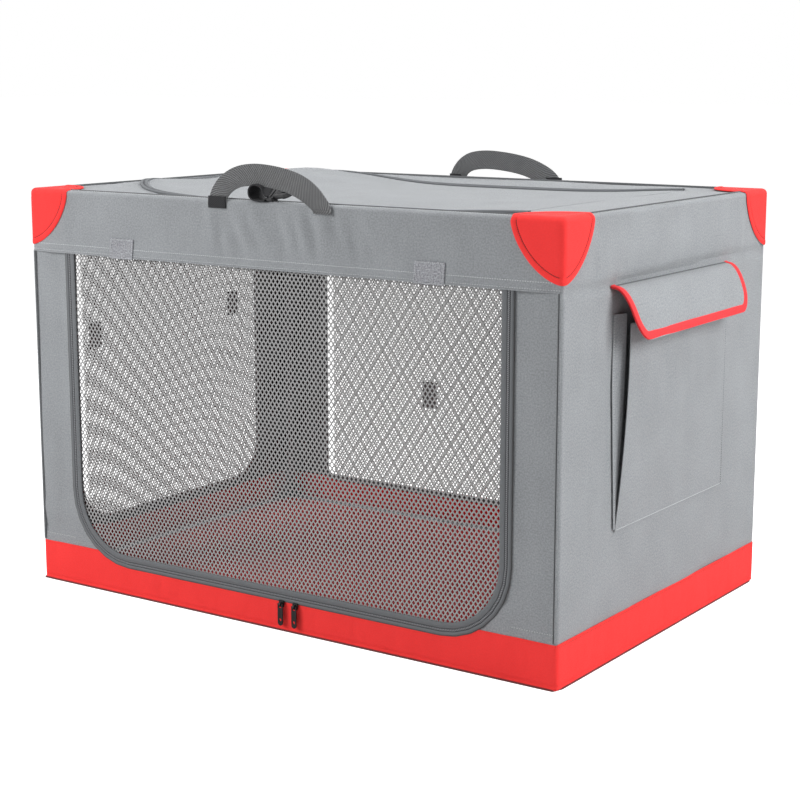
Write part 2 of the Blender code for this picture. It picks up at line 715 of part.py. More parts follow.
def make_top(grey, zip_tape, red, top, hatch):
    """The top cover with its skirt, the zipped hatch and the red patches over the corners."""
    low = cover_top - SKIRT
    cover = add_object("top_cover", to_mesh("top_cover", prism(
        box_outline(-cover_x, cover_x, -cover_y, cover_y), low, cover_top)), grey, top)
    inside_x = cover_x - COVER_CLOTH
    inside_y = cover_y - COVER_CLOTH
    hollow = prism(box_outline(-inside_x, inside_x, -inside_y, inside_y), low - OVERRUN, under_cover)
    modify(cover, "DIFFERENCE", hollow, "cover_hollow")
    opening = hatch_outline(GAP + ZIP_WIDTH + GAP)
    opening[0] = (hatch_hinge + GAP, opening[0][1])
    opening[-1] = (hatch_hinge + GAP, opening[-1][1])
    modify(cover, "DIFFERENCE", prism(opening, under_cover - OVERRUN, cover_top + OVERRUN), "hatch_opening")
    panel = prism(hatch_outline(0), under_cover, cover_top)
    add_object("hatch_panel", to_mesh("hatch_panel", panel), grey, hatch)
    band = hatch_outline(GAP + ZIP_WIDTH) + hatch_outline(GAP)[::-1]
    strip = prism(band, under_cover, HEIGHT)
    add_object("hatch_zip", to_mesh("hatch_zip", strip), zip_tape, top)
    for corner, (x, y) in CORNERS.items():
        add_object(f"corner_patch_{corner}", corner_patch_mesh(x, y, corner), red, top)


def corner_patch_mesh(x, y, corner):
    """A patch moulded round one upper corner, with a petal on each of its three faces."""
    form = bmesh.new()
    tip = Vector((x * LENGTH / 2, y * DEPTH / 2, HEIGHT))
    legs = [Vector((-x * PATCH_WIDTH, 0, 0)), Vector((0, -y * PATCH_WIDTH, 0)), Vector((0, 0, -PATCH_DROP))]
    middle = form.verts.new(tip)
    ends = [form.verts.new(tip + leg) for leg in legs]
    for first, second in ((0, 1), (1, 2), (2, 0)):
        loop = [middle, ends[first]]
        for k in range(1, PATCH_STEPS):
            turn = math.pi / 2 * k / PATCH_STEPS
            loop.append(form.verts.new(tip + legs[first] * math.cos(turn) + legs[second] * math.sin(turn)))
        loop.append(ends[second])
        form.faces.new(loop)
    bmesh.ops.recalc_face_normals(form, faces=form.faces)
    outward = Vector((0, 0, 1))
    form.faces.ensure_lookup_table()
    if form.faces[0].normal.dot(outward) < 0:
        bmesh.ops.reverse_faces(form, faces=form.faces)
    shell = bpy.data.meshes.new(f"corner_patch_{corner}")
    form.to_mesh(shell)
    form.free()
    work = bpy.data.objects.new(f"corner_patch_{corner}_shell", shell)
    bpy.context.scene.collection.objects.link(work)
    thick = work.modifiers.new("cloth", "SOLIDIFY")
    thick.thickness = PATCH_CLOTH
    thick.offset = -1
    thick.use_even_offset = True
    sight = bpy.context.evaluated_depsgraph_get()
    mesh = bpy.data.meshes.new_from_object(work.evaluated_get(sight))
    bpy.data.objects.remove(work, do_unlink=True)
    return mesh


def ribbon(name, places, widths, width, thickness):
    """A flat strap swept through places, with a direction across it at each."""
    form = bmesh.new()
    rings = []
    count = len(places)
    for k in range(count):
        ahead = (places[min(k + 1, count - 1)] - places[max(k - 1, 0)]).normalized()
        across = (widths[k] - ahead * widths[k].dot(ahead)).normalized()
        normal = ahead.cross(across)
        ring = []
        for u, v in ((-1, -1), (1, -1), (1, 1), (-1, 1)):
            ring.append(form.verts.new(places[k] + across * u * width / 2 + normal * v * thickness / 2))
        rings.append(ring)
    for first, second in zip(rings, rings[1:]):
        for k in range(4):
            form.faces.new([first[k], first[(k + 1) % 4], second[(k + 1) % 4], second[k]])
    form.faces.new(rings[0][::-1])
    form.faces.new(rings[-1])
    return smooth(to_mesh(name, form), math.radians(50))


def make_handle(name, side, webbing, carrier):
    """A strap handle that stands in an arch, turned flat against the wall at its two feet."""
    face = side * (cover_y + GAP + WEBBING_THICKNESS / 2)
    seam = handle_foot_z + HANDLE_FOOT / 2
    places = [Vector((-HANDLE_HALF, face, handle_foot_z))]
    facing = [Vector((0, side, 0))]
    for k in range(RIBBON_STEPS + 1):
        swing = math.cos(math.pi * k / RIBBON_STEPS)
        rise = max(0, math.sin(math.pi * k / RIBBON_STEPS))
        x = -HANDLE_HALF * math.copysign(abs(swing) ** (4 / 5), swing)
        y = face - side * HANDLE_LEAN * rise ** 2
        places.append(Vector((x, y, seam + HANDLE_RISE * rise ** (2 / 3))))
        facing.append(Vector((0, side, HANDLE_TILT_SHARE * rise ** 2)))
    places.append(Vector((HANDLE_HALF, face, handle_foot_z)))
    facing.append(Vector((0, side, 0)))
    last = len(places) - 1
    widths = []
    for k, normal in enumerate(facing):
        ahead = places[min(k + 1, last)] - places[max(k - 1, 0)]
        widths.append(normal.cross(ahead))
    add_object(name, ribbon(name, places, widths, WEBBING_WIDTH, WEBBING_THICKNESS), webbing, carrier)


def make_buckle(webbing, black, carrier):
    """A short strap looped on the front edge of the top, and the plug of its side-release buckle."""
    low = cover_top + GAP + WEBBING_THICKNESS / 2
    lift = STRAP_RISE / 2
    depth = -cover_y + STRAP_WIDTH / 2
    start = STRAP_PLACE + STRAP_LENGTH / 2
    places = [Vector((start, depth, low))]
    for x, z in arc((STRAP_PLACE - STRAP_LENGTH / 2 + lift, low + lift), lift, 270, 90, ARC_STEPS * 2):
        places.append(Vector((x, depth, z)))
    places.append(Vector((start - WEBBING_THICKNESS, depth, low + STRAP_RISE)))
    widths = [Vector((0, 1, 0))] * len(places)
    strap = ribbon("buckle_strap", places, widths, STRAP_WIDTH, WEBBING_THICKNESS)
    add_object("buckle_strap", strap, webbing, carrier)
    half = BUCKLE_WIDTH / 2
    back = start - WEBBING_THICKNESS
    neck = back + BUCKLE_LENGTH / 2
    tip = back + BUCKLE_LENGTH
    hook = PRONG_WIDTH * 3 / 2
    upper = [(neck, half), (neck + PRONG_WIDTH, half - PRONG_WIDTH / 2), (tip - hook, half)]
    upper += [(tip, half - hook / 2), (tip - PRONG_WIDTH, half - hook), (neck, half - hook)]
    guide = [(neck, PRONG_WIDTH / 2), (tip - hook, PRONG_WIDTH / 2)]
    right = upper + guide
    outline = [(back, half), *right, *[(u, -v) for u, v in reversed(right)], (back, -half)]
    slot = box_outline(back + BUCKLE_SLOT, back + BUCKLE_SLOT * 2, -half + BUCKLE_SLOT, half - BUCKLE_SLOT)
    plug_low = low + WEBBING_THICKNESS / 2 + GAP
    body = prism([(u, v + depth) for u, v in outline], plug_low, plug_low + BUCKLE_THICKNESS, "XY",
                 [[(u, v + depth) for u, v in slot]])
    add_object("buckle_plug", to_mesh("buckle_plug", body), black, carrier)


def make_sliders(black, carriers):
    """Two zip sliders that meet below the door, each with a bridge that its pull hangs from."""
    for end, place in zip(("left", "right"), SLIDER_PLACES):
        half = SLIDER_WIDTH / 2
        shoulder = SLIDER_HEIGHT / 2
        outline = [(place - half * 2 / 3, slider_z - shoulder), (place + half * 2 / 3, slider_z - shoulder),
                   (place + half, slider_z), (place + half, slider_z + shoulder),
                   (place - half, slider_z + shoulder), (place - half, slider_z)]
        front = -slider_face - SLIDER_THICKNESS
        form = prism(outline, front, -slider_face, "XZ")
        name = f"zip_slider_{end}"
        piece = add_object(name, to_mesh(name, form), black, carriers[f"slider_{end}"])
        reach = BRIDGE_RADIUS + BRIDGE_WALL
        seat = front + BRIDGE_WALL / 2
        round_way = arc((pull_axis_y, slider_z), reach, 90, 270, ARC_STEPS)
        bow = [(seat, slider_z + reach), *round_way, (seat, slider_z - reach)]
        bridge = prism(bow, place - BRIDGE_WALL, place + BRIDGE_WALL, "YZ",
                       [circle((pull_axis_y, slider_z), BRIDGE_RADIUS, PIN_SIDES)])
        modify(piece, "UNION", bridge, f"slider_bridge_{end}")
        bar_half = PULL_THICKNESS / 2
        wide = PULL_WIDTH / 2
        foot = slider_z - PULL_LENGTH
        tab = [(place - wide, slider_z + bar_half), (place - wide, foot + wide)]
        tab += arc((place, foot + wide), wide, 180, 360, ARC_STEPS)
        tab.append((place + wide, slider_z + bar_half))
        slot = box_outline(place - PULL_SLOT / 2, place + PULL_SLOT / 2, slider_z - bar_half - PULL_SLOT,
                           slider_z - bar_half)
        hole = circle((place, foot + wide * 2), PULL_HOLE, PIN_SIDES)
        pull = prism(tab, pull_axis_y - bar_half, pull_axis_y + bar_half, "XZ", [slot, hole])
        name = f"zip_pull_{end}"
        add_object(name, to_mesh(name, pull), black, carriers[f"pull_{end}"])


def make_pocket(grey, carrier):
    """The end wall's pocket: a pouch that stands off the wall at its mouth, and a bound flap over it."""
    form = bmesh.new()
    wall = wall_x + GAP
    rows = []
    for v in range(POCKET_ROWS + 1):
        rise = v / POCKET_ROWS
        z = pocket_bottom + (pocket_top - pocket_bottom) * rise
        depth = POCKET_FOOT + (POCKET_BULGE - POCKET_FOOT) * math.sin(math.pi / 2 * rise)
        row = []
        for u in range(POCKET_COLUMNS + 1):
            along = u / POCKET_COLUMNS
            y = pocket_front + (pocket_rear - pocket_front) * along
            bow = POCKET_EDGE_SHARE + (1 - POCKET_EDGE_SHARE) * math.sin(math.pi * along)
            row.append(form.verts.new((wall + depth * bow, y, z)))
        rows.append([form.verts.new((wall, pocket_front, z)), *row, form.verts.new((wall, pocket_rear, z))])
    for low, high in zip(rows, rows[1:]):
        for k in range(len(low) - 1):
            form.faces.new([low[k], low[k + 1], high[k + 1], high[k]])
    foot = rows[0]
    back = [foot[0]]
    back += [form.verts.new((wall, vertex.co.y, pocket_bottom)) for vertex in foot[2:-2]]
    back.append(foot[-1])
    form.faces.new([foot[2], foot[1], foot[0], back[1]])
    for k in range(1, len(back) - 2):
        form.faces.new([foot[k + 2], foot[k + 1], back[k], back[k + 1]])
    form.faces.new([foot[-1], foot[-2], foot[-3], back[-2]])
    bmesh.ops.recalc_face_normals(form, faces=form.faces)
    shell = bpy.data.meshes.new("pocket_pouch")
    form.to_mesh(shell)
    form.free()
    pouch = add_object("pocket_pouch", shell, grey)
    thick = pouch.modifiers.new("cloth", "SOLIDIFY")
    thick.thickness = WALL_CLOTH
    thick.offset = -1
    thick.use_even_offset = True

    half = (flap_rear - flap_front) / 2
    middle = (flap_rear + flap_front) / 2
    length = math.hypot(FLAP_REACH, FLAP_FALL)
    rim = FLAP_CLOTH / 2 + FLAP_ROLL
    outer = doorway(half, -length, 0, FLAP_CORNER)
    inner = doorway(half - FLAP_BINDING, -length + FLAP_BINDING, 0, FLAP_CORNER - FLAP_BINDING)
    panel = prism([(u + middle, v) for u, v in outer], -FLAP_CLOTH / 2, FLAP_CLOTH / 2, "YZ")
    band = prism([(u + middle, v) for u, v in outer + inner[::-1]], -rim, rim, "YZ")
    mesh = baked("pocket_flap", panel, [("UNION", band)])
    lean = Matrix.Rotation(-math.atan2(FLAP_REACH, FLAP_FALL), 4, "Y")
    mesh.transform(lean)
    add_object("pocket_flap", mesh, grey, carrier, (flap_axis_x, 0, flap_top))


def main():
    """Builds every piece of the crate."""
    clear_scene()
    steel = finish("satin_steel", (0.62, 0.63, 0.65), 0.35, 0.9)
    moulding = finish("grey_moulding", (0.10, 0.10, 0.11), 0.5)
    rivet = finish("zinc_rivet", (0.55, 0.56, 0.58), 0.3, 1.0)
    grey = finish("grey_cloth", (0.31, 0.325, 0.34), 0.85)
    red = finish("red_cloth", (0.78, 0.035, 0.033), 0.8)
    pad_cloth = finish("red_pad_cloth", (0.70, 0.05, 0.05), 0.9)
    net_cloth = finish("grey_net", (0.42, 0.42, 0.43), 0.8)
    zip_tape = finish("grey_zip_tape", (0.17, 0.18, 0.19), 0.75)
    webbing = finish("dark_webbing", (0.10, 0.10, 0.10), 0.7)
    black = finish("black_plastic", (0.02, 0.02, 0.022), 0.35)
    slider = finish("black_slider", (0.03, 0.03, 0.03), 0.35, 0.8)

    left_lower = add_empty("left_lower_axis", (-leg_x, 0, base_pivot_z))
    right_lower = add_empty("right_lower_axis", (leg_x, 0, base_pivot_z))
    left_upper = add_empty("left_upper_axis", (-knee_x, 0, knee_z), left_lower)
    right_upper = add_empty("right_upper_axis", (knee_x, 0, knee_z), right_lower)
    top = add_empty("top_axis", (-leg_x, 0, top_pivot_z), left_upper)
    hatch = add_empty("hatch_axis", (hatch_hinge, 0, cover_top), top)
    door = add_empty("front_door_axis", (0, -wall_y, header_bottom))
    side_door = add_empty("left_door_axis", (-wall_x, 0, header_bottom))
    handle_y = cover_y + GAP + WEBBING_THICKNESS
    front_handle = add_empty("front_handle_axis", (0, -handle_y, handle_foot_z), top)
    rear_handle = add_empty("rear_handle_axis", (0, handle_y, handle_foot_z), top)
    carriers = {
        "left_lower": left_lower,
        "right_lower": right_lower,
        "left_upper": left_upper,
        "right_upper": right_upper,
        "top": top,
    }
    make_rings(steel, top)
    make_folding_frame(steel, moulding, rivet, carriers)
    make_base(red, pad_cloth)
    make_walls(grey, net_cloth)
    tapes = (net_cloth, grey, zip_tape)
    door_pieces("front", door_net_half, DOOR_NET_BOTTOM, "XZ", wall_y, -1, tapes, door)
    door_pieces("left", side_door_net_half, SIDE_DOOR_NET_BOTTOM, "YZ", wall_x, -1, tapes, side_door)
    make_top(grey, zip_tape, red, top, hatch)
    make_handle("front_handle", -1, webbing, front_handle)
    make_handle("rear_handle", 1, webbing, rear_handle)
    buckle = add_empty("buckle_axis", (0, -cover_y, cover_top + GAP), top)
    for end, place in zip(("left", "right"), SLIDER_PLACES):
        slide = add_empty(f"slider_{end}_place", (place, -slider_face, slider_z))
        carriers[f"slider_{end}"] = slide
        carriers[f"pull_{end}"] = add_empty(f"pull_{end}_axis", (place, pull_axis_y, slider_z), slide)
    flap = add_empty("pocket_flap_axis", (flap_axis_x, 0, flap_top))
    make_buckle(webbing, black, buckle)
    make_sliders(slider, carriers)
    make_pocket(grey, flap)


if __name__ == "__main__":
    main()
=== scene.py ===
"""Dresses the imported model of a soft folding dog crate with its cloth, mesh, zips, pocket and webbing."""
import logging
import math
from dataclasses import dataclass
from enum import Enum
from typing import Callable, Sequence

import bmesh
import bpy
from mathutils import Matrix, Vector, noise


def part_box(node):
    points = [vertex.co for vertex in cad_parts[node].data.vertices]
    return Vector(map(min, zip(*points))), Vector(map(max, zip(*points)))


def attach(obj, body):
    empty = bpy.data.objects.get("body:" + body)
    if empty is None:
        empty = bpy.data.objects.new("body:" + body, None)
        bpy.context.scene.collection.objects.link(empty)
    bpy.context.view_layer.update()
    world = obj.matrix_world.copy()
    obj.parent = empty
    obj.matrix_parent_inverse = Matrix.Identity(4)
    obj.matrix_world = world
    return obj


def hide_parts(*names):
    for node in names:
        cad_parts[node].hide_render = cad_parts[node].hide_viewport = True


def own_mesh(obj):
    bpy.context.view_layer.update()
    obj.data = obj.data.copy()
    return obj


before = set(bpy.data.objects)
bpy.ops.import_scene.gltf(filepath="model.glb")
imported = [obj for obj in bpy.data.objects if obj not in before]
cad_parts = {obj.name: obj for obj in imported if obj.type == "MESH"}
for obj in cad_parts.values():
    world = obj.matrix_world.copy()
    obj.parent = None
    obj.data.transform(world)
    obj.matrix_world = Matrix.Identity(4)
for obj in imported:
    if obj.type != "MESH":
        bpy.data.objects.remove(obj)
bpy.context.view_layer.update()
LOG = logging.getLogger("crate")

Point = tuple[float, float]
Relief = Callable[[float, float], float]

# Outer faces of the cloth, in metres from the crate's middle and above the floor
OUT_X = 0.4532
OUT_Y = 0.3032
TOP = 0.5985
# Radius of the cloth's edges, how far a wall turns on to the roof, and where its faces are cut to bend
EDGE = 0.006
WRAP = 0.009
EDGE_CUTS = (0.0018, 0.0036, 0.0054, 0.0075)
# Top of the red band, foot of the walls, and lower edge of the header, from which the doors hang
BAND = 0.062
WALL_FOOT = 0.0575
HEADER = 0.507
# Thickness of single and doubled cloth, and how far outside a door's edge the wall is cut
CLOTH = 0.0009
DOUBLED = 0.0012
ZIP_GAP = 0.0165
# Height of the seam on the roof's edge, and half its length on the long walls and on the ends
TOP_SEAM = TOP + WRAP - 0.002
LONG_SEAM = 0.385
SHORT_SEAM = 0.235
# Distance below which a cut takes a place as lying on the knife
ON_CUT = 1e-6
# The way up, and the white of the floor's glow and of the sky
UP = Vector((0, 0, 1))
WHITE = (1, 1, 1, 1)


class Wire:
    """A shader socket whose operators add Math nodes."""

    def __init__(self, graph: "Graph", socket: bpy.types.NodeSocket) -> None:
        """Keeps the socket and the graph that it belongs to."""
        self.graph = graph
        self.socket = socket

    def maths(self, operation: str, *values: "Wire | float") -> "Wire":
        """Adds one Math node.

        Args:
            operation: the node's operation.
            values: its inputs, in order.

        Returns:
            The node's result.
        """
        return self.graph.node("ShaderNodeMath", {"operation": operation}, dict(enumerate(values)))

    def __add__(self, other: "Wire | float") -> "Wire":
        """Adds a value."""
        return self.maths("ADD", self, other)

    def __radd__(self, other: float) -> "Wire":
        """Is added to a number."""
        return self.maths("ADD", other, self)

    def __sub__(self, other: "Wire | float") -> "Wire":
        """Takes a value away."""
        return self.maths("SUBTRACT", self, other)

    def __rsub__(self, other: float) -> "Wire":
        """Is taken from a number."""
        return self.maths("SUBTRACT", other, self)

    def __mul__(self, other: "Wire | float") -> "Wire":
        """Multiplies by a value."""
        return self.maths("MULTIPLY", self, other)

    def __rmul__(self, other: float) -> "Wire":
        """Multiplies a number."""
        return self.maths("MULTIPLY", other, self)

    def __truediv__(self, other: "Wire | float") -> "Wire":
        """Divides by a value."""
        return self.maths("DIVIDE", self, other)

    def __rtruediv__(self, other: float) -> "Wire":
        """Divides a number."""
        return self.maths("DIVIDE", other, self)

    def floor(self) -> "Wire":
        """Rounds down."""
        return self.maths("FLOOR", self)

    def fraction(self) -> "Wire":
        """What is left after rounding down."""
        return self.maths("FRACT", self)

    def wave(self) -> "Wire":
        """The height of a row of round threads, one to each unit."""
        return self.maths("ABSOLUTE", self.maths("SINE", self * math.pi))

    def ramp(self, low: float, high: float) -> "Wire":
        """A smooth step from 0 at low to 1 at high."""
        settings = {"interpolation_type": "SMOOTHSTEP"}
        return self.graph.node("ShaderNodeMapRange", settings, {0: self, 1: low, 2: high, 3: 0.0, 4: 1.0})


class Graph:
    """The nodes of a material or of the sky, added one call at a time."""

    def __init__(self, owner: "bpy.types.Material | bpy.types.World") -> None:
        """Starts on the owner's own nodes."""
        owner.use_nodes = True
        self.owner = owner
        self.tree = owner.node_tree

    def node(self, kind: str, settings: dict | None = None, inputs: dict | None = None,
             output: int | str = 0) -> Wire:
        """Adds one node.

        Args:
            kind: the node's type.
            settings: its own settings, set before its sockets; "stops" fills a colour ramp.
            inputs: a value or a Wire for each socket named or numbered.
            output: the output to go on from.

        Returns:
            The output, as a Wire.
        """
        made = self.tree.nodes.new(kind)
        for name, value in (settings or {}).items():
            if name == "stops":
                for stop, (place, colour) in zip(made.color_ramp.elements, value):
                    stop.position = place
                    stop.color = (*colour, 1.0)
            else:
                setattr(made, name, value)
        for name, value in (inputs or {}).items():
            self.feed(made.inputs[name], value)
        return Wire(self, made.outputs[output])

    def feed(self, socket: bpy.types.NodeSocket, value: "Wire | float | tuple") -> None:
        """Links a Wire to a socket, or sets a plain value on it."""
        if isinstance(value, Wire):
            self.tree.links.new(value.socket, socket)
        else:
            socket.default_value = value

    def toned(self, tone: Wire, colour: Sequence[float], dark: float, light: float) -> Wire:
        """Varies a colour's lightness.

        Args:
            tone: 0 where the colour is darkest and 1 where it is lightest.
            colour: the colour.
            dark: the share of it at its darkest.
            light: the share of it at its lightest.

        Returns:
            The varied colour.
        """
        low, high = ((*(min(1.0, c * share) for c in colour), 1.0) for share in (dark, light))
        settings = {"data_type": "RGBA", "blend_type": "MIX", "clamp_factor": True}
        return self.node("ShaderNodeMix", settings, {0: tone, 6: low, 7: high}, 2)

    def cloth_map(self) -> tuple[Wire, Wire, Wire]:
        """The cloth's own map in metres: the whole vector, and its two directions."""
        place = self.node("ShaderNodeUVMap", {"uv_map": "cloth"})
        across = self.node("ShaderNodeSeparateXYZ", {}, {0: place}, 0)
        along = Wire(self, across.socket.node.outputs[1])
        return place, across, along

    def solid_map(self) -> Wire:
        """The object's own coordinates in metres."""
        return self.node("ShaderNodeTexCoord", {}, {}, "Object")

    def noise(self, place: Wire, scale: float, detail: float, rough: float, shares: tuple = ()) -> Wire:
        """A soft noise from 0 to 1.

        Args:
            place: where it is read, in metres.
            scale: how many of its cells lie in a metre.
            detail: the number of finer layers.
            rough: how strong the finer layers are.
            shares: a share of the scale for each direction, if they differ.

        Returns:
            The noise.
        """
        if shares:
            place = self.node("ShaderNodeVectorMath", {"operation": "MULTIPLY"}, {0: place, 1: shares})
        inputs = {"Vector": place, "Scale": scale, "Detail": detail, "Roughness": rough}
        return self.node("ShaderNodeTexNoise", {}, inputs, "Fac")

    def bump(self, height: Wire, distance: float, under: Wire | None = None) -> Wire:
        """Feeds a height, in shares of a distance in metres, to the shader's normal.

        Args:
            height: the height.
            distance: the distance.
            under: a normal that it lies on.

        Returns:
            The normal.
        """
        inputs = {"Strength": 1.0, "Distance": distance, "Height": height}
        if under is not None:
            inputs["Normal"] = under
        normal = self.node("ShaderNodeBump", {}, inputs)
        self.set(Normal=normal)
        return normal

    def set(self, **values: "Wire | float | tuple") -> bpy.types.Material:
        """Sets the shader's sockets, named with _ for a space, and returns the material."""
        shader = self.tree.nodes["Principled BSDF"]
        for name, value in values.items():
            self.feed(shader.inputs[name.replace("_", " ")], value)
        return self.owner

    def end(self, surface: Wire) -> None:
        """Makes a shader the one that the material or the sky shows."""
        last = next(node for node in self.tree.nodes if node.bl_idname.startswith("ShaderNodeOutput"))
        self.feed(last.inputs["Surface"], surface)


@dataclass(frozen=True)
class Weave:
    """A plain-woven polyester, with its thread pitch, the heights of its weave and its creases in metres."""

    name: str
    colour: tuple
    pitch: float = 0.0009
    relief: float = 0.00016
    contrast: float = 0.34
    roughness: float = 0.8
    sheen: float = 0.15
    creases: float = 0.0045

    def make(self) -> bpy.types.Material:
        """Builds the material: threads over and under, slubs along them, faint clouds and soft creases."""
        graph = Graph(bpy.data.materials.new(self.name))
        place, across, along = graph.cloth_map()
        a = across / self.pitch
        b = along / self.pitch
        over = ((a.floor() + b.floor()) * 0.5).fraction() * 2.0
        warp = a.wave() * (0.6 + 0.4 * b.wave())
        weft = b.wave() * (0.6 + 0.4 * a.wave())
        height = over * weft + (1.0 - over) * warp
        slub = graph.noise(place, 700.0, 2.0, 0.6, (0.3, 1.0, 1.0))
        cloud = graph.noise(place, 14.0, 3.0, 0.5).ramp(0.25, 0.75)
        dust = graph.noise(place, 420.0, 3.0, 0.65).ramp(0.3, 0.7)
        folds = graph.noise(place, 16.0, 2.0, 0.4, (1.0, 0.45, 1.0))
        crimp = graph.noise(place, 55.0, 2.0, 0.5, (1.0, 0.7, 1.0))
        # The weave's height lightens the threads' crowns and darkens the hollows between them, painted shade;
        # slubs, clouds and dust vary the cloth's own tone.
        tone = height * 0.2 + slub * 0.2 + cloud * 0.12 + dust * 0.48
        soft = graph.bump(folds + crimp * 0.22, self.creases)
        graph.bump(height + slub * 0.5, self.relief, soft)
        return graph.set(Base_Color=graph.toned(tone, self.colour, 1 - self.contrast, 1 + self.contrast),
                         Roughness=self.roughness - 0.12 + 0.24 * slub, Sheen_Weight=self.sheen,
                         Sheen_Roughness=0.5, Specular_IOR_Level=0.3)


@dataclass(frozen=True)
class Rib:
    """A narrow woven band: webbing, binding or zip tape, with ribs across it that may slant."""

    name: str
    colour: tuple
    rib: float = 0.0016
    slant: float = 0.0
    relief: float = 0.00025
    contrast: float = 0.35
    roughness: float = 0.7
    shine: float = 0.35

    def make(self) -> bpy.types.Material:
        """Builds the material from the band's own map, which runs across and along it."""
        graph = Graph(bpy.data.materials.new(self.name))
        place, across, along = graph.cloth_map()
        ribs = ((along + across * self.slant) / self.rib).wave()
        threads = (across / (self.rib * 0.6)).wave()
        fuzz = graph.noise(place, 1400.0, 3.0, 0.7)
        cloud = graph.noise(place, 60.0, 3.0, 0.6)
        # The ribs' and threads' heights lighten their crowns and darken the grooves between them, painted
        # shade; fuzz and clouds vary the band's own tone.
        tone = ribs * 0.5 + threads * 0.15 + fuzz * 0.2 + cloud * 0.2
        graph.bump(ribs + threads * 0.3 + fuzz * 0.3, self.relief)
        return graph.set(Base_Color=graph.toned(tone, self.colour, 1 - self.contrast, 1 + self.contrast),
                         Roughness=self.roughness - 0.1 + 0.2 * fuzz, Specular_IOR_Level=self.shine)


@dataclass(frozen=True)
class Coil:
    """A zip's coil: small teeth in a row, with shade painted dark between them."""

    name: str
    colour: tuple
    tooth: float = 0.0026
    gap: float = 0.0009
    relief: float = 0.0004

    def make(self) -> bpy.types.Material:
        """Builds the material: each tooth leans a little, with a painted highlight on its back and painted
        shade between the teeth.
        """
        graph = Graph(bpy.data.materials.new(self.name))
        _, across, along = graph.cloth_map()
        teeth = ((along + across * 0.5) / self.tooth).wave()
        middle = ((across + self.gap / 2) / self.gap).wave()
        graph.bump(teeth * 0.8 + middle * 0.2, self.relief)
        # Painted highlight on the teeth's backs, painted shade between them.
        return graph.set(Base_Color=graph.toned(teeth.ramp(0.2, 0.9), self.colour, 0.3, 1.25),
                         Roughness=0.45 + 0.25 * (1.0 - teeth), Specular_IOR_Level=0.5)


@dataclass(frozen=True)
class Knit:
    """The strands of a knitted mesh."""

    name: str
    colour: tuple
    roughness: float = 0.6
    relief: float = 0.0003

    def make(self) -> bpy.types.Material:
        """Builds the material: twisted yarns, lighter on their backs."""
        graph = Graph(bpy.data.materials.new(self.name))
        place = graph.solid_map()
        yarn = graph.noise(place, 1300.0, 2.0, 0.6)
        cloud = graph.noise(place, 9.0, 2.0, 0.5)
        graph.bump(yarn, self.relief)
        return graph.set(Base_Color=graph.toned(yarn * 0.75 + cloud * 0.3, self.colour, 0.72, 1.25),
                         Roughness=self.roughness)


@dataclass(frozen=True)
class Thread:
    """Sewing thread, twisted from fine filaments; it also makes the dark lines painted as shade and shadow.
    """

    name: str
    colour: tuple
    roughness: float = 0.6
    relief: float = 0.0001

    def make(self) -> bpy.types.Material:
        """Builds the material with a fine twist."""
        graph = Graph(bpy.data.materials.new(self.name))
        twist = graph.noise(graph.solid_map(), 3000.0, 2.0, 0.6)
        graph.bump(twist, self.relief)
        return graph.set(Base_Color=graph.toned(twist, self.colour, 0.75, 1.2), Roughness=self.roughness)


@dataclass(frozen=True)
class Hard:
    """Moulded plastic, enamel or metal, with the fine unevenness of its surface."""

    name: str
    colour: tuple
    roughness: float
    metallic: float = 0.0
    grain: float = 900.0
    relief: float = 0.00005
    scuff: float = 0.12

    def make(self) -> bpy.types.Material:
        """Builds the material: fine grain, and rubbed places that are rougher and lighter."""
        graph = Graph(bpy.data.materials.new(self.name))
        place = graph.solid_map()
        grain = graph.noise(place, self.grain, 3.0, 0.6)
        rub = graph.noise(place, 70.0, 4.0, 0.65).ramp(0.45, 0.75)
        graph.bump(grain, self.relief)
        tone = grain * 0.5 + rub * 0.5
        rough = self.roughness + 0.15 * rub + 0.08 * grain
        return graph.set(Base_Color=graph.toned(tone, self.colour, 1 - self.scuff, 1 + self.scuff * 2),
                         Roughness=rough, Metallic=self.metallic)


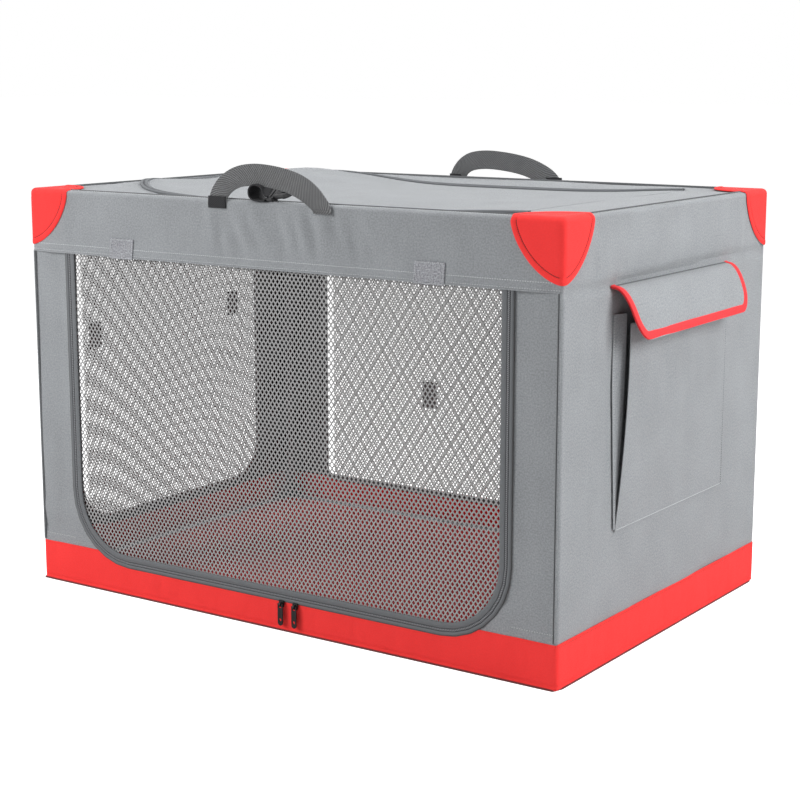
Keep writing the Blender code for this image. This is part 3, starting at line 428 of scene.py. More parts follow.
class Finish(Enum):
    """The finishes of this crate."""

    GREY = Weave("grey_weave", (0.277, 0.290, 0.304))
    # The walls' inner side: the grey cloth painted about four times darker, as the shade inside the crate.
    INNER = Weave("grey_weave_inside", (0.070, 0.072, 0.075), contrast=0.25)
    RED = Weave("red_weave", (0.97, 0.038, 0.036), contrast=0.07, sheen=0.02)
    PAD = Weave("pad_weave", (0.95, 0.042, 0.040), pitch=0.0013, contrast=0.12)
    BINDING = Rib("grey_binding", (0.130, 0.137, 0.145), rib=0.0007, relief=0.0001, contrast=0.2)
    RED_BINDING = Rib("red_binding", (0.80, 0.034, 0.040), rib=0.0009, relief=0.0002, contrast=0.12)
    TAPE = Rib("zip_tape", (0.06, 0.063, 0.07), rib=0.0009, relief=0.00015, contrast=0.25)
    COIL = Coil("zip_coil", (0.15, 0.155, 0.165))
    NET = Knit("pale_mesh", (0.305, 0.305, 0.306))
    TAB = Weave("hook_tab", (0.32, 0.325, 0.35), 0.0022, 0.0007, 0.85, creases=0.0005)
    PATCH = Rib("net_patch", (0.19, 0.19, 0.20), rib=0.0015)
    WEBBING = Rib("strap_webbing", (0.118, 0.120, 0.123), rib=0.0034, slant=0.8, relief=0.0012, contrast=0.9)
    # Near-black webbing: the buckle's loop in its own colour, and the handles' folded feet painted near-black
    # as their shade.
    FOLDED = Rib("strap_webbing_fold", (0.022, 0.022, 0.024), rib=0.0030, slant=0.8, relief=0.0006,
                 contrast=0.6, shine=0.2)
    GREY_THREAD = Thread("grey_thread", (0.58, 0.60, 0.62))
    # Dark grey lines painted as shade along the front corners, the roof's edge seam and the pocket flap's
    # hinge; also the pouch's dark rear stitches.
    SHADE_THREAD = Thread("shade_thread", (0.09, 0.095, 0.10))
    # Dark red thread for the band's and the caps' stitches, and a dark red line painted as the shadow under
    # the band's foot.
    DARK_THREAD = Thread("dark_red_thread", (0.13, 0.010, 0.010))
    # Black thread for the handles' stitches, and a black line painted as the shade in the gap beside each
    # door's zip.
    BLACK_THREAD = Thread("black_thread", (0.05, 0.05, 0.05))
    STEEL = Hard("satin_tube", (0.55, 0.56, 0.58), 0.38, 0.9, 400.0)
    COATED = Hard("coated_tube", (0.10, 0.105, 0.11), 0.45, 0.0, 500.0)
    MOULDED = Hard("grey_moulded", (0.10, 0.10, 0.11), 0.5, 0.0, 1500.0, 0.0001)
    ZINC = Hard("zinc", (0.55, 0.56, 0.58), 0.3, 1.0, 700.0)
    BLACK = Hard("black_moulded", (0.022, 0.022, 0.024), 0.32, 0.0, 1800.0)
    ENAMEL = Hard("black_enamel", (0.035, 0.035, 0.035), 0.3, 0.8, 900.0)

    def material(self) -> bpy.types.Material:
        """The finish's material, made on its first use."""
        name = "finish_" + self.value.name
        found = bpy.data.materials.get(name)
        if found is None:
            found = self.value.make()
            found.name = name
        return found


class Side(Enum):
    """A side of the crate: the directions across it and up it as it is looked at, and out of it."""

    FRONT = ((1, 0, 0), (0, 0, 1), (0, -1, 0))
    REAR = ((-1, 0, 0), (0, 0, 1), (0, 1, 0))
    LEFT = ((0, -1, 0), (0, 0, 1), (-1, 0, 0))
    RIGHT = ((0, 1, 0), (0, 0, 1), (1, 0, 0))
    ROOF = ((1, 0, 0), (0, 1, 0), (0, 0, 1))

    def face(self) -> float:
        """How far out the side's cloth lies."""
        return {"FRONT": OUT_Y, "REAR": OUT_Y, "LEFT": OUT_X, "RIGHT": OUT_X, "ROOF": TOP}[self.name]

    def place(self, across: float, up: float, out: float = 0.0) -> Vector:
        """A point on the flat side, or round its upper or lower edge where it lies past them.

        Args:
            across: metres from the middle, to the right as the side is looked at.
            up: metres above the floor, or towards the rear on the roof.
            out: metres outside the side's cloth.

        Returns:
            The point, with the edges still sharp.
        """
        u, v, w = (Vector(axis) for axis in self.value)
        if self is Side.ROOF:
            return u * across + v * up + w * (TOP + out)
        if up > TOP:
            return u * across + v * (TOP + out) + w * (self.face() - (up - TOP))
        if up < 0:
            return u * across - v * out + w * (self.face() + up)
        return u * across + v * up + w * (self.face() + out)


def softened(point: Vector, low_edge: float = 0.0) -> Vector:
    """Moves a point of the sharp box on to one with rounded edges.

    Args:
        point: a point on or near the sharp box.
        low_edge: the radius along the floor, 0 for none.

    Returns:
        The point on the rounded box.
    """
    core = Vector((max(EDGE - OUT_X, min(OUT_X - EDGE, point.x)),
                   max(EDGE - OUT_Y, min(OUT_Y - EDGE, point.y)),
                   max(low_edge, min(TOP - EDGE, point.z)) if low_edge else min(TOP - EDGE, point.z)))
    rest = point - core
    if low_edge and point.z < low_edge:
        rest.z *= EDGE / low_edge
    reach = max(abs(c) for c in rest)
    if reach < 1e-9:
        return point
    moved = rest.normalized() * reach
    if low_edge and point.z < low_edge:
        moved.z *= low_edge / EDGE
    return core + moved


def arc(centre: Point, radius: float, start: float, stop: float, steps: int) -> list[Point]:
    """Points along an arc, in degrees, with both ends."""
    turns = [math.radians(start + (stop - start) * k / steps) for k in range(steps + 1)]
    return [(centre[0] + radius * math.cos(t), centre[1] + radius * math.sin(t)) for t in turns]


def doorway(half: float, foot: float, head: float, corner: float, steps: int = 7) -> list[Point]:
    """A door's outline from its upper left corner down, round its lower corners and up."""
    points = [(-half, head)]
    points += arc((-half + corner, foot + corner), corner, 180, 270, steps)
    points += arc((half - corner, foot + corner), corner, 270, 360, steps)
    return [*points, (half, head)]


def inside(outline: Sequence[Point], place: Point, margin: float = 0.0) -> bool:
    """Tells whether a place lies in a convex outline that runs anticlockwise."""
    for (ax, ay), (bx, by) in zip(outline, [*outline[1:], outline[0]]):
        length = math.hypot(bx - ax, by - ay)
        if (bx - ax) * (place[1] - ay) - (by - ay) * (place[0] - ax) < -margin * length:
            return False
    return True


def spaced(route: Sequence[Vector], step: float, closed: bool = False) -> list[Vector]:
    """Points at even steps along a route.

    Args:
        route: the points that it runs through.
        step: about how far apart they are.
        closed: whether it runs round to its start.

    Returns:
        The points.
    """
    ends = [*route, route[0]] if closed else list(route)
    lengths = [(b - a).length for a, b in zip(ends, ends[1:])]
    total = sum(lengths)
    count = max(2, round(total / step))
    places = []
    for k in range(count + (0 if closed else 1)):
        want = total * k / count
        for (a, b), length in zip(zip(ends, ends[1:]), lengths):
            if want <= length + 1e-9:
                places.append(a.lerp(b, min(1.0, want / max(length, 1e-9))))
                break
            want -= length
    return places


def smoothed(points: Sequence[tuple], rounds: int = 2) -> Sequence[tuple]:
    """Rounds a route off by cutting its corners, with its ends kept."""
    for _ in range(rounds):
        cut = [points[0]]
        for a, b in zip(points, points[1:]):
            cut += [tuple(p + (q - p) * share for p, q in zip(a, b)) for share in (0.25, 0.75)]
        points = [*cut, points[-1]]
    return points


def step(value: float, low: float, high: float) -> float:
    """A smooth step from 0 at low to 1 at high."""
    share = max(0.0, min(1.0, (value - low) / (high - low)))
    return share * share * (3 - 2 * share)


def calm(u: float, v: float, edge: float) -> float:
    """How freely a wall's cloth moves: not at all at its ends, on the top ring and under the corner caps."""
    corner = 1 - step(abs(u), edge - 0.085, edge - 0.070) * step(v, TOP - 0.100, TOP - 0.085)
    return corner * step(edge - abs(u), 0.0, 0.03) * (1 - step(v, TOP - 0.012, TOP))


def flattened(lift: float, u: float, edge: float) -> float:
    """A height that may go inwards, but stays flat outwards where a corner cap lies over it when folded."""
    return min(lift, 0.0) + max(lift, 0.0) * (1 - step(abs(u), edge - 0.090, edge - 0.075))


def tucked(v: float) -> float:
    """How far a wall's foot lies behind the red band."""
    return -0.0013 * (1 - step(v, BAND, BAND + 0.010))


def crumple(u: float, v: float, size: float, seed: float = 0.0) -> float:
    """A smooth uneven height from -1 to 1, its waves about size metres wide."""
    return noise.noise(Vector((u / size, v / size, seed))) * 1.6


def on_side(side: Side, points: Sequence[Point], out: float = 0.0, low_edge: float = 0.0,
            relief: Relief | None = None) -> list[Vector]:
    """Places a flat drawing on a side of the crate.

    Args:
        side: the side.
        points: the drawing, across and up.
        out: how far it lies outside the side's face.
        low_edge: the radius along the floor.
        relief: how much further it stands out at each place.

    Returns:
        The points in space.
    """
    return [softened(side.place(u, v, out + (relief(u, v) if relief else 0.0)), low_edge) for u, v in points]


def outward(side: Side) -> Vector:
    """The direction out of a side."""
    return Vector(side.value[2])


def line(a: Point, b: Point, pitch: float = 0.02) -> list[Point]:
    """Points along a straight line, at most a pitch apart."""
    count = max(1, math.ceil(math.hypot(b[0] - a[0], b[1] - a[1]) / pitch))
    return [(a[0] + (b[0] - a[0]) * k / count, a[1] + (b[1] - a[1]) * k / count) for k in range(count + 1)]


def level(half: float, height: float, pitch: float = 0.02) -> list[Point]:
    """Points along a level line that reaches as far to both sides."""
    return line((-half, height), (half, height), pitch)


def flat_grid(low: Point, high: Point, columns: int, rows: int) -> bmesh.types.BMesh:
    """A flat cloth between two corners, in columns and rows of faces."""
    part = bmesh.new()
    bmesh.ops.create_grid(part, x_segments=columns, y_segments=rows, size=0.5)
    bmesh.ops.scale(part, vec=(high[0] - low[0], high[1] - low[1], 1.0), verts=part.verts)
    bmesh.ops.translate(part, vec=((low[0] + high[0]) / 2, (low[1] + high[1]) / 2, 0.0), verts=part.verts)
    return part


def flat_place(loop: bmesh.types.BMLoop) -> Sequence[float]:
    """Where a face's corner lies on a cloth that is still flat."""
    return loop.vert.co.xy


def chart(part: bmesh.types.BMesh,
          place: Callable[[bmesh.types.BMLoop], Sequence[float]] = flat_place) -> None:
    """Lays out a part's cloth map, in metres, from the place of each corner of its faces."""
    layer = part.loops.layers.uv.new("cloth")
    for piece in part.faces:
        for loop in piece.loops:
            loop[layer].uv = place(loop)


def new_verts(made: dict) -> list[bmesh.types.BMVert]:
    """The vertices among what an operator made."""
    return [g for g in made["geom"] if isinstance(g, bmesh.types.BMVert)]


def thicken(part: bmesh.types.BMesh, depth: float) -> set[bmesh.types.BMFace]:
    """Gives an open cloth its thickness.

    Args:
        part: the cloth.
        depth: how far its second side lies behind it, or before it if less than 0.

    Returns:
        The faces of the second side and its rim.
    """
    part.normal_update()
    normals = {tuple(vertex.co): vertex.normal.copy() for vertex in part.verts}
    grown = bmesh.ops.extrude_face_region(part, geom=list(part.faces), use_keep_orig=True)
    for vertex in new_verts(grown):
        vertex.co -= normals[tuple(vertex.co)] * depth
    return {g for g in grown["geom"] if isinstance(g, bmesh.types.BMFace)}


def added(name: str, data: bpy.types.ID) -> bpy.types.Object:
    """A new object in the scene."""
    thing = bpy.data.objects.new(name, data)
    bpy.context.scene.collection.objects.link(thing)
    return thing


class Work:
    """A mesh in the making, with a map in metres and the finishes of its faces."""

    def __init__(self, *finishes: Finish) -> None:
        """Starts an empty mesh with its finishes."""
        self.form = bmesh.new()
        self.form.loops.layers.uv.new("cloth")
        self.finishes = finishes

    def cloth(self, side: Side, low: Point, high: Point, cell: float, cut: Sequence[Sequence[Point]] = (),
              keep: Sequence[Point] = (), relief: Relief | None = None, out: float = 0.0,
              thickness: float = CLOTH, low_edge: float = 0.0, lining: int = 0) -> None:
        """Adds a cloth on a side, round its upper or lower edge where it reaches past them.

        Args:
            side: the side that it lies on.
            low: its lowest place across and up.
            high: its highest place across and up.
            cell: the size of its faces.
            cut: convex outlines that are cut out of it.
            keep: a convex outline that all outside of is cut off.
            relief: how far it stands out at each place.
            out: how far it lies outside the side's face.
            thickness: its thickness, taken inwards.
            low_edge: the radius along the floor.
            lining: the number of its inner side's finish.
        """
        columns, rows = (max(1, round((b - a) / cell)) for a, b in zip(low, high))
        part = flat_grid(low, high, columns, rows)
        if side is not Side.ROOF:
            edge = {Side.FRONT: OUT_X, Side.REAR: OUT_X}.get(side, OUT_Y)
            for near in EDGE_CUTS:
                self.rule(part, (edge - near, near - edge), (TOP - near, TOP + near, near, -near))
        for outline in [*cut, *([keep] if keep else [])]:
            self.score(part, outline)
        gone = []
        for piece in part.faces:
            middle = piece.calc_center_median()[:2]
            if any(inside(o, middle) for o in cut) or (keep and not inside(keep, middle)):
                gone.append(piece)
        bmesh.ops.delete(part, geom=gone, context="FACES")
        chart(part)
        flat = {vertex: vertex.co.copy() for vertex in part.verts}
        for vertex, place in flat.items():
            vertex.co = softened(side.place(place.x, place.y, out), low_edge)
        part.normal_update()
        if relief is not None:
            for vertex, place in flat.items():
                vertex.co += vertex.normal * relief(place.x, place.y)
        inner = thicken(part, thickness)
        for piece in part.faces:
            piece.material_index = lining if piece in inner else 0
        self.take(part)

    @staticmethod
    def rule(part: bmesh.types.BMesh, uprights: Sequence[float], levels: Sequence[float]) -> None:
        """Cuts a flat cloth's faces right across, at places across it and at levels."""
        ways = [((u, 0.0, 0.0), (1, 0, 0)) for u in uprights] + [((0.0, v, 0.0), (0, 1, 0)) for v in levels]
        for place, way in ways:
            bmesh.ops.bisect_plane(part, geom=[*part.verts, *part.edges, *part.faces], dist=ON_CUT,
                                   plane_co=place, plane_no=way)

    @staticmethod
    def score(part: bmesh.types.BMesh, outline: Sequence[Point]) -> None:
        """Cuts a flat cloth's faces along a convex outline, near the outline alone.

        Args:
            part: the cloth.
            outline: the outline.
        """
        for a, b in zip(outline, [*outline[1:], outline[0]]):
            low = (min(a[0], b[0]) - 1e-4, min(a[1], b[1]) - 1e-4)
            high = (max(a[0], b[0]) + 1e-4, max(a[1], b[1]) + 1e-4)
            near = []
            for piece in part.faces:
                us = [vertex.co.x for vertex in piece.verts]
                vs = [vertex.co.y for vertex in piece.verts]
                if max(us) > low[0] and min(us) < high[0] and max(vs) > low[1] and min(vs) < high[1]:
                    near.append(piece)
            if not near:
                continue
            edges = list({edge for piece in near for edge in piece.edges})
            verts = list({vertex for piece in near for vertex in piece.verts})
            bmesh.ops.bisect_plane(part, geom=near + edges + verts, dist=ON_CUT, plane_co=(*a, 0.0),
                                   plane_no=(b[1] - a[1], a[0] - b[0], 0.0))

    def take(self, part: bmesh.types.BMesh, turn: bool = True) -> None:
        """Adds a finished part to this mesh, with its faces turned outwards if asked."""
        if turn:
            bmesh.ops.recalc_face_normals(part, faces=part.faces)
        mesh = bpy.data.meshes.new("part")
        part.to_mesh(mesh)
        part.free()
        self.form.from_mesh(mesh)
        bpy.data.meshes.remove(mesh)

    def band(self, route: Sequence[Vector], facing: "Vector | Sequence[Vector]", width: float,
             thickness: float, slot: int = 0, closed: bool = False, sides: int = 8,
             squareness: float = 0.6) -> None:
        """Adds a flat or round band along a route.

        Args:
            route: the points that its middle follows.
            facing: the direction out of its flat side, one or one for each point.
            width: its width.
            thickness: its thickness.
            slot: the number of its finish.
            closed: whether it runs round to its start.
            sides: the number of its long faces.
            squareness: 1 for an oval section, less for a squarer one.
        """
        part = bmesh.new()
        mapped = part.loops.layers.uv.new("cloth")
        count = len(route)
        frames, walked, total = [], [], 0.0
        for k, place in enumerate(route):
            back = route[k - 1] if k or closed else place
            ahead = route[(k + 1) % count] if k < count - 1 or closed else place
            along = (ahead - back).normalized()
            face = facing if isinstance(facing, Vector) else facing[k]
            up = (face - along * face.dot(along)).normalized()
            across = up.cross(along)
            turn = Matrix((across, up, along)).transposed().to_4x4()
            frames.append(Matrix.Translation(place) @ turn)
            total += (place - route[k - 1]).length if k else 0.0
            walked.append(total)
        made = bmesh.ops.create_circle(part, segments=sides, radius=1.0)["verts"]
        for vertex in made:
            x, y = vertex.co.x, vertex.co.y
            vertex.co = Vector((math.copysign(abs(x) ** squareness, x) * width / 2,
                                math.copysign(abs(y) ** squareness, y) * thickness / 2, 0.0))
        bmesh.ops.transform(part, matrix=frames[0], verts=made)
        first = list(part.edges)
        edges = first
        for k in range(1, count):
            grown = bmesh.ops.extrude_edge_only(part, edges=edges)["geom"]
            new = {g for g in grown if isinstance(g, bmesh.types.BMVert)}
            bmesh.ops.transform(part, matrix=frames[k] @ frames[k - 1].inverted(), verts=list(new))
            edges = [g for g in grown if isinstance(g, bmesh.types.BMEdge) and set(g.verts) <= new]
            here, before = frames[k].inverted(), frames[k - 1].inverted()
            for piece in {face for vertex in new for face in vertex.link_faces}:
                for loop in piece.loops:
                    late = loop.vert in new
                    local = (here if late else before) @ loop.vert.co
                    loop[mapped].uv = (local.x + local.y, walked[k] if late else walked[k - 1])
        if closed:
            bmesh.ops.bridge_loops(part, edges=first + edges)
        else:
            bmesh.ops.edgeloop_fill(part, edges=first)
            bmesh.ops.edgeloop_fill(part, edges=edges)
        for piece in part.faces:
            piece.material_index = slot
            piece.smooth = True
        self.take(part)

    def stitches(self, route: Sequence[Vector], facing: "Vector | Callable[[Vector], Vector]", slot: int,
                 pitch: float = 0.0036, length: float = 0.0025, width: float = 0.0007) -> None:
        """Adds a row of stitches along a route.

        Args:
            route: the points of the seam, on the cloth.
            facing: the direction out of the cloth, one or one worked out at each place.
            slot: the number of the thread's finish.
            pitch: from one stitch to the next.
            length: the length of a stitch.
            width: the thread's width.
        """
        part = bmesh.new()
        part.loops.layers.uv.new("cloth")
        places = spaced(route, pitch)
        for a, b in zip(places, places[1:]):
            along = (b - a).normalized()
            face = facing if isinstance(facing, Vector) else facing((a + b) / 2)
            up = (face - along * face.dot(along)).normalized()
            turn = Matrix((along, up.cross(along), up)).transposed().to_4x4()
            size = Matrix.Diagonal((length / 2, width / 2, width / 2, 1.0))
            bmesh.ops.create_icosphere(part, subdivisions=1, radius=1.0,
                                       matrix=Matrix.Translation((a + b) / 2) @ turn @ size)
        for piece in part.faces:
            piece.material_index = slot
            piece.smooth = True
        self.take(part)

    def trim(self, side: Side, points: Sequence[Point], out: float, width: float, thickness: float,
             pitch: float, slot: int = 0, closed: bool = False, sides: int = 8) -> None:
        """Adds a band along a drawing on a side.

        Args:
            side: the side.
            points: the drawing that the band's middle follows.
            out: how far the middle lies outside the side's face.
            width: the band's width.
            thickness: its thickness.
            pitch: the distance between its cross sections.
            slot: the number of its finish.
            closed: whether it runs round to its start.
            sides: the number of its long faces.
        """
        route = spaced(on_side(side, points, out), pitch, closed)
        self.band(route, outward(side), width, thickness, slot, closed, sides)

    def seam(self, side: Side, points: Sequence[Point], out: float = 0.0, relief: Relief | None = None,
             facing: Vector | None = None, **stitch: float) -> None:
        """Sews a row of stitches in the second finish along a drawing on a side.

        Args:
            side: the side.
            points: the drawing.
            out: how far the row lies outside the side's face.
            relief: how much further it stands out at each place.
            facing: the direction out of the cloth, if not the side's.
            stitch: the sizes of the stitches, as stitches takes them.
        """
        self.stitches(on_side(side, points, out, relief=relief), facing or outward(side), 1, **stitch)

    def piece(self, name: str, body: str, slot: str, replaces: Sequence[str] = (), squash: bool = False,
              angle: float = 40.0) -> bpy.types.Object:
        """Makes the mesh a piece that moves with a body.

        Args:
            name: the piece's name.
            body: the body that it rides on.
            slot: the record's slot for its finish; not used.
            replaces: the CAD nodes that it stands for.
            squash: whether it gets a copy of its mesh of its own.
            angle: the sharpest edge, in degrees, that is shaded smooth.

        Returns:
            The piece.
        """
        mesh = bpy.data.meshes.new(name)
        self.form.to_mesh(mesh)
        self.form.free()
        for finish in self.finishes:
            mesh.materials.append(finish.material())
        mesh.shade_smooth()
        mesh.set_sharp_from_angle(angle=math.radians(angle))
        thing = added(name, mesh)
        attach(thing, body)
        if replaces:
            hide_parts(*replaces)
        if squash:
            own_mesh(thing)
        LOG.info("%s: %d faces on %s", name, len(mesh.polygons), body)
        return thing


def net_patch(name: str, side: Side, body: str, low: Point, high: Point) -> None:
    """Makes the small dark patch that is sewn behind a mesh, between two corners."""
    patch = Work(Finish.PATCH)
    patch.cloth(side, low, high, 0.006, out=-0.0036, thickness=DOUBLED)
    patch.piece(name, body, "grey_cloth", (), True)


@dataclass
class MeshDoor:
    """A mesh door with its binding, and the zip that runs round it.

    The holes stand a pitch apart in rows a row apart. The strands between them are a strand wide on each side
    of their ridge. The binding is a distance from the door's edge, a width and a thickness, and each of the
    zip's rows is a distance, a width, a thickness, a lift and the number of a finish.
    """

    name: str
    side: Side
    body: str
    half: float
    foot: float
    corner: float
    pitch: float = 0.0072
    row: float = 0.00515
    strand: float = 0.00119
    ridge: float = 0.0007
    slope: float = 0.8
    opening: float = 1.10
    fringe: float = 0.004
    wave: float = 0.0012
    wave_length: float = 0.12
    sink: float = 0.0012
    net_lap: float = 0.003
    binding: tuple = (0.0042, 0.0084, 0.0032)
    seam_gap: float = 0.0015
    net_angle: float = 80.0
    hangs_from: str = "front_header"
    patches: tuple = ()
    patch_half: Point = (0.013, 0.020)
    # The last row is a black line painted as the shade in the gap between the zip and the wall.
    zip_rows: tuple = ((0.0120, 0.0110, 0.0010, -0.0014, 0), (0.0104, 0.0034, 0.0028, 0.0003, 1),
                       (0.0152, 0.0050, 0.0030, 0.0002, 2), (0.0182, 0.0012, 0.0016, 0.0001, 3))

    def outline(self, grow: float, head: float = HEADER) -> list[Point]:
        """The door's outline, grown by a width."""
        return doorway(self.half + grow, self.foot - grow, head, self.corner + grow)

    def net(self, outline: Sequence[Point], out: float, seed: float) -> Work:
        """The mesh: staggered long holes whose strands rise to a ridge.

        Args:
            outline: the convex outline that it fills.
            out: how far out of the side it lies.
            seed: the number that sets its waves apart from another mesh's.

        Returns:
            The mesh in the making.
        """
        low, high = ([pick(p[k] for p in outline) for k in (0, 1)] for pick in (min, max))
        columns = math.ceil((high[0] - low[0]) / self.pitch) + 2
        rows = math.ceil((high[1] - low[1]) / self.row / 2) + 1
        part = bmesh.new()
        bmesh.ops.create_circle(part, cap_ends=True, segments=6, radius=1.0)
        slope = self.row * self.slope
        upright = self.row - slope
        for vertex in part.verts:
            across, up = vertex.co.x, vertex.co.y
            side = 0.0 if abs(across) < 0.1 else math.copysign(self.pitch / 2, across)
            tall = upright / 2 if side else upright / 2 + slope
            vertex.co = Vector((side, math.copysign(tall, up), 0.0))
        self.repeat(part, columns, Vector((self.pitch, 0, 0)))
        pair = bmesh.ops.duplicate(part, geom=list(part.faces))
        bmesh.ops.translate(part, vec=(self.pitch / 2, self.row, 0), verts=new_verts(pair))
        self.repeat(part, rows, Vector((0, self.row * 2, 0)))
        bmesh.ops.translate(part, vec=(-self.pitch * columns / 2, low[1], 0), verts=part.verts)
        gone = [f for f in part.faces if not inside(outline, f.calc_center_median()[:2], self.fringe)]
        bmesh.ops.delete(part, geom=gone, context="FACES")
        bmesh.ops.remove_doubles(part, verts=part.verts, dist=self.strand / 10)
        holes = list(part.faces)
        bmesh.ops.inset_individual(part, faces=holes, thickness=self.strand, depth=-self.ridge,
                                   use_even_offset=True)
        for hole in holes:
            middle = hole.calc_center_median().y
            for vertex in hole.verts:
                vertex.co.y = middle + (vertex.co.y - middle) * self.opening
        bmesh.ops.delete(part, geom=holes, context="FACES")
        chart(part)
        for piece in part.faces:
            piece.smooth = True
        for vertex in part.verts:
            flat = vertex.co.copy()
            wave = self.wave * crumple(flat.x, flat.y, self.wave_length, seed)
            vertex.co = self.side.place(flat.x, flat.y, out + flat.z + wave)
        work = Work(Finish.NET)
        work.take(part, turn=False)
        return work

    @staticmethod
    def repeat(part: bmesh.types.BMesh, count: int, stride: Vector) -> None:
        """Repeats a flat drawing along a direction, in ever longer runs.

        Args:
            part: the drawing.
            count: how often it stands there in the end.
            stride: the way from one to the next.
        """
        run = list(part.faces)
        have = 1
        while have < count:
            take = min(have, count - have)
            made = bmesh.ops.duplicate(part, geom=run[: len(run) * take // have])
            bmesh.ops.translate(part, vec=stride * have, verts=new_verts(made))
            run += [g for g in made["geom"] if isinstance(g, bmesh.types.BMFace)]
            have += take

    def build(self) -> None:
        """Builds the mesh, its binding, the zip and the patches."""
        net = self.net(self.outline(self.net_lap), -self.sink, len(self.name))
        thing = net.piece(f"{self.name}_mesh", self.body, "grey_net", [f"{self.name}_door_net"], True,
                          self.net_angle)
        flat = (self.half * 2, HEADER - self.foot)
        lost = 2 * (1 - math.pi / 4) * self.corner ** 2
        flat[0] * flat[1] - lost
        edging = Work(Finish.BINDING, Finish.GREY_THREAD)
        grow, width, thick = self.binding
        edging.trim(self.side, self.outline(grow, HEADER + 0.001), 0.0002, width, thick, 0.006, sides=12)
        edging.seam(self.side, self.outline(self.seam_gap, HEADER - 0.001), 0.0013)
        edging.piece(f"{self.name}_edging", self.body, "grey_cloth", [f"{self.name}_door_binding"], True)
        run = Work(Finish.TAPE, Finish.COIL, Finish.BINDING, Finish.BLACK_THREAD)
        for grow, width, thick, out, slot in self.zip_rows:
            run.trim(self.side, self.outline(grow, HEADER + 0.006), out, width, thick, 0.005, slot, sides=10)
        run.piece(f"{self.name}_zip_run", "base", "grey_zip_tape", [f"{self.name}_zip"], True)
        wide, tall = self.patch_half
        for k, (u, v) in enumerate(self.patches):
            net_patch(f"{self.name}_net_patch_{k}", self.side, self.body, (u - wide, v - tall),
                      (u + wide, v + tall))


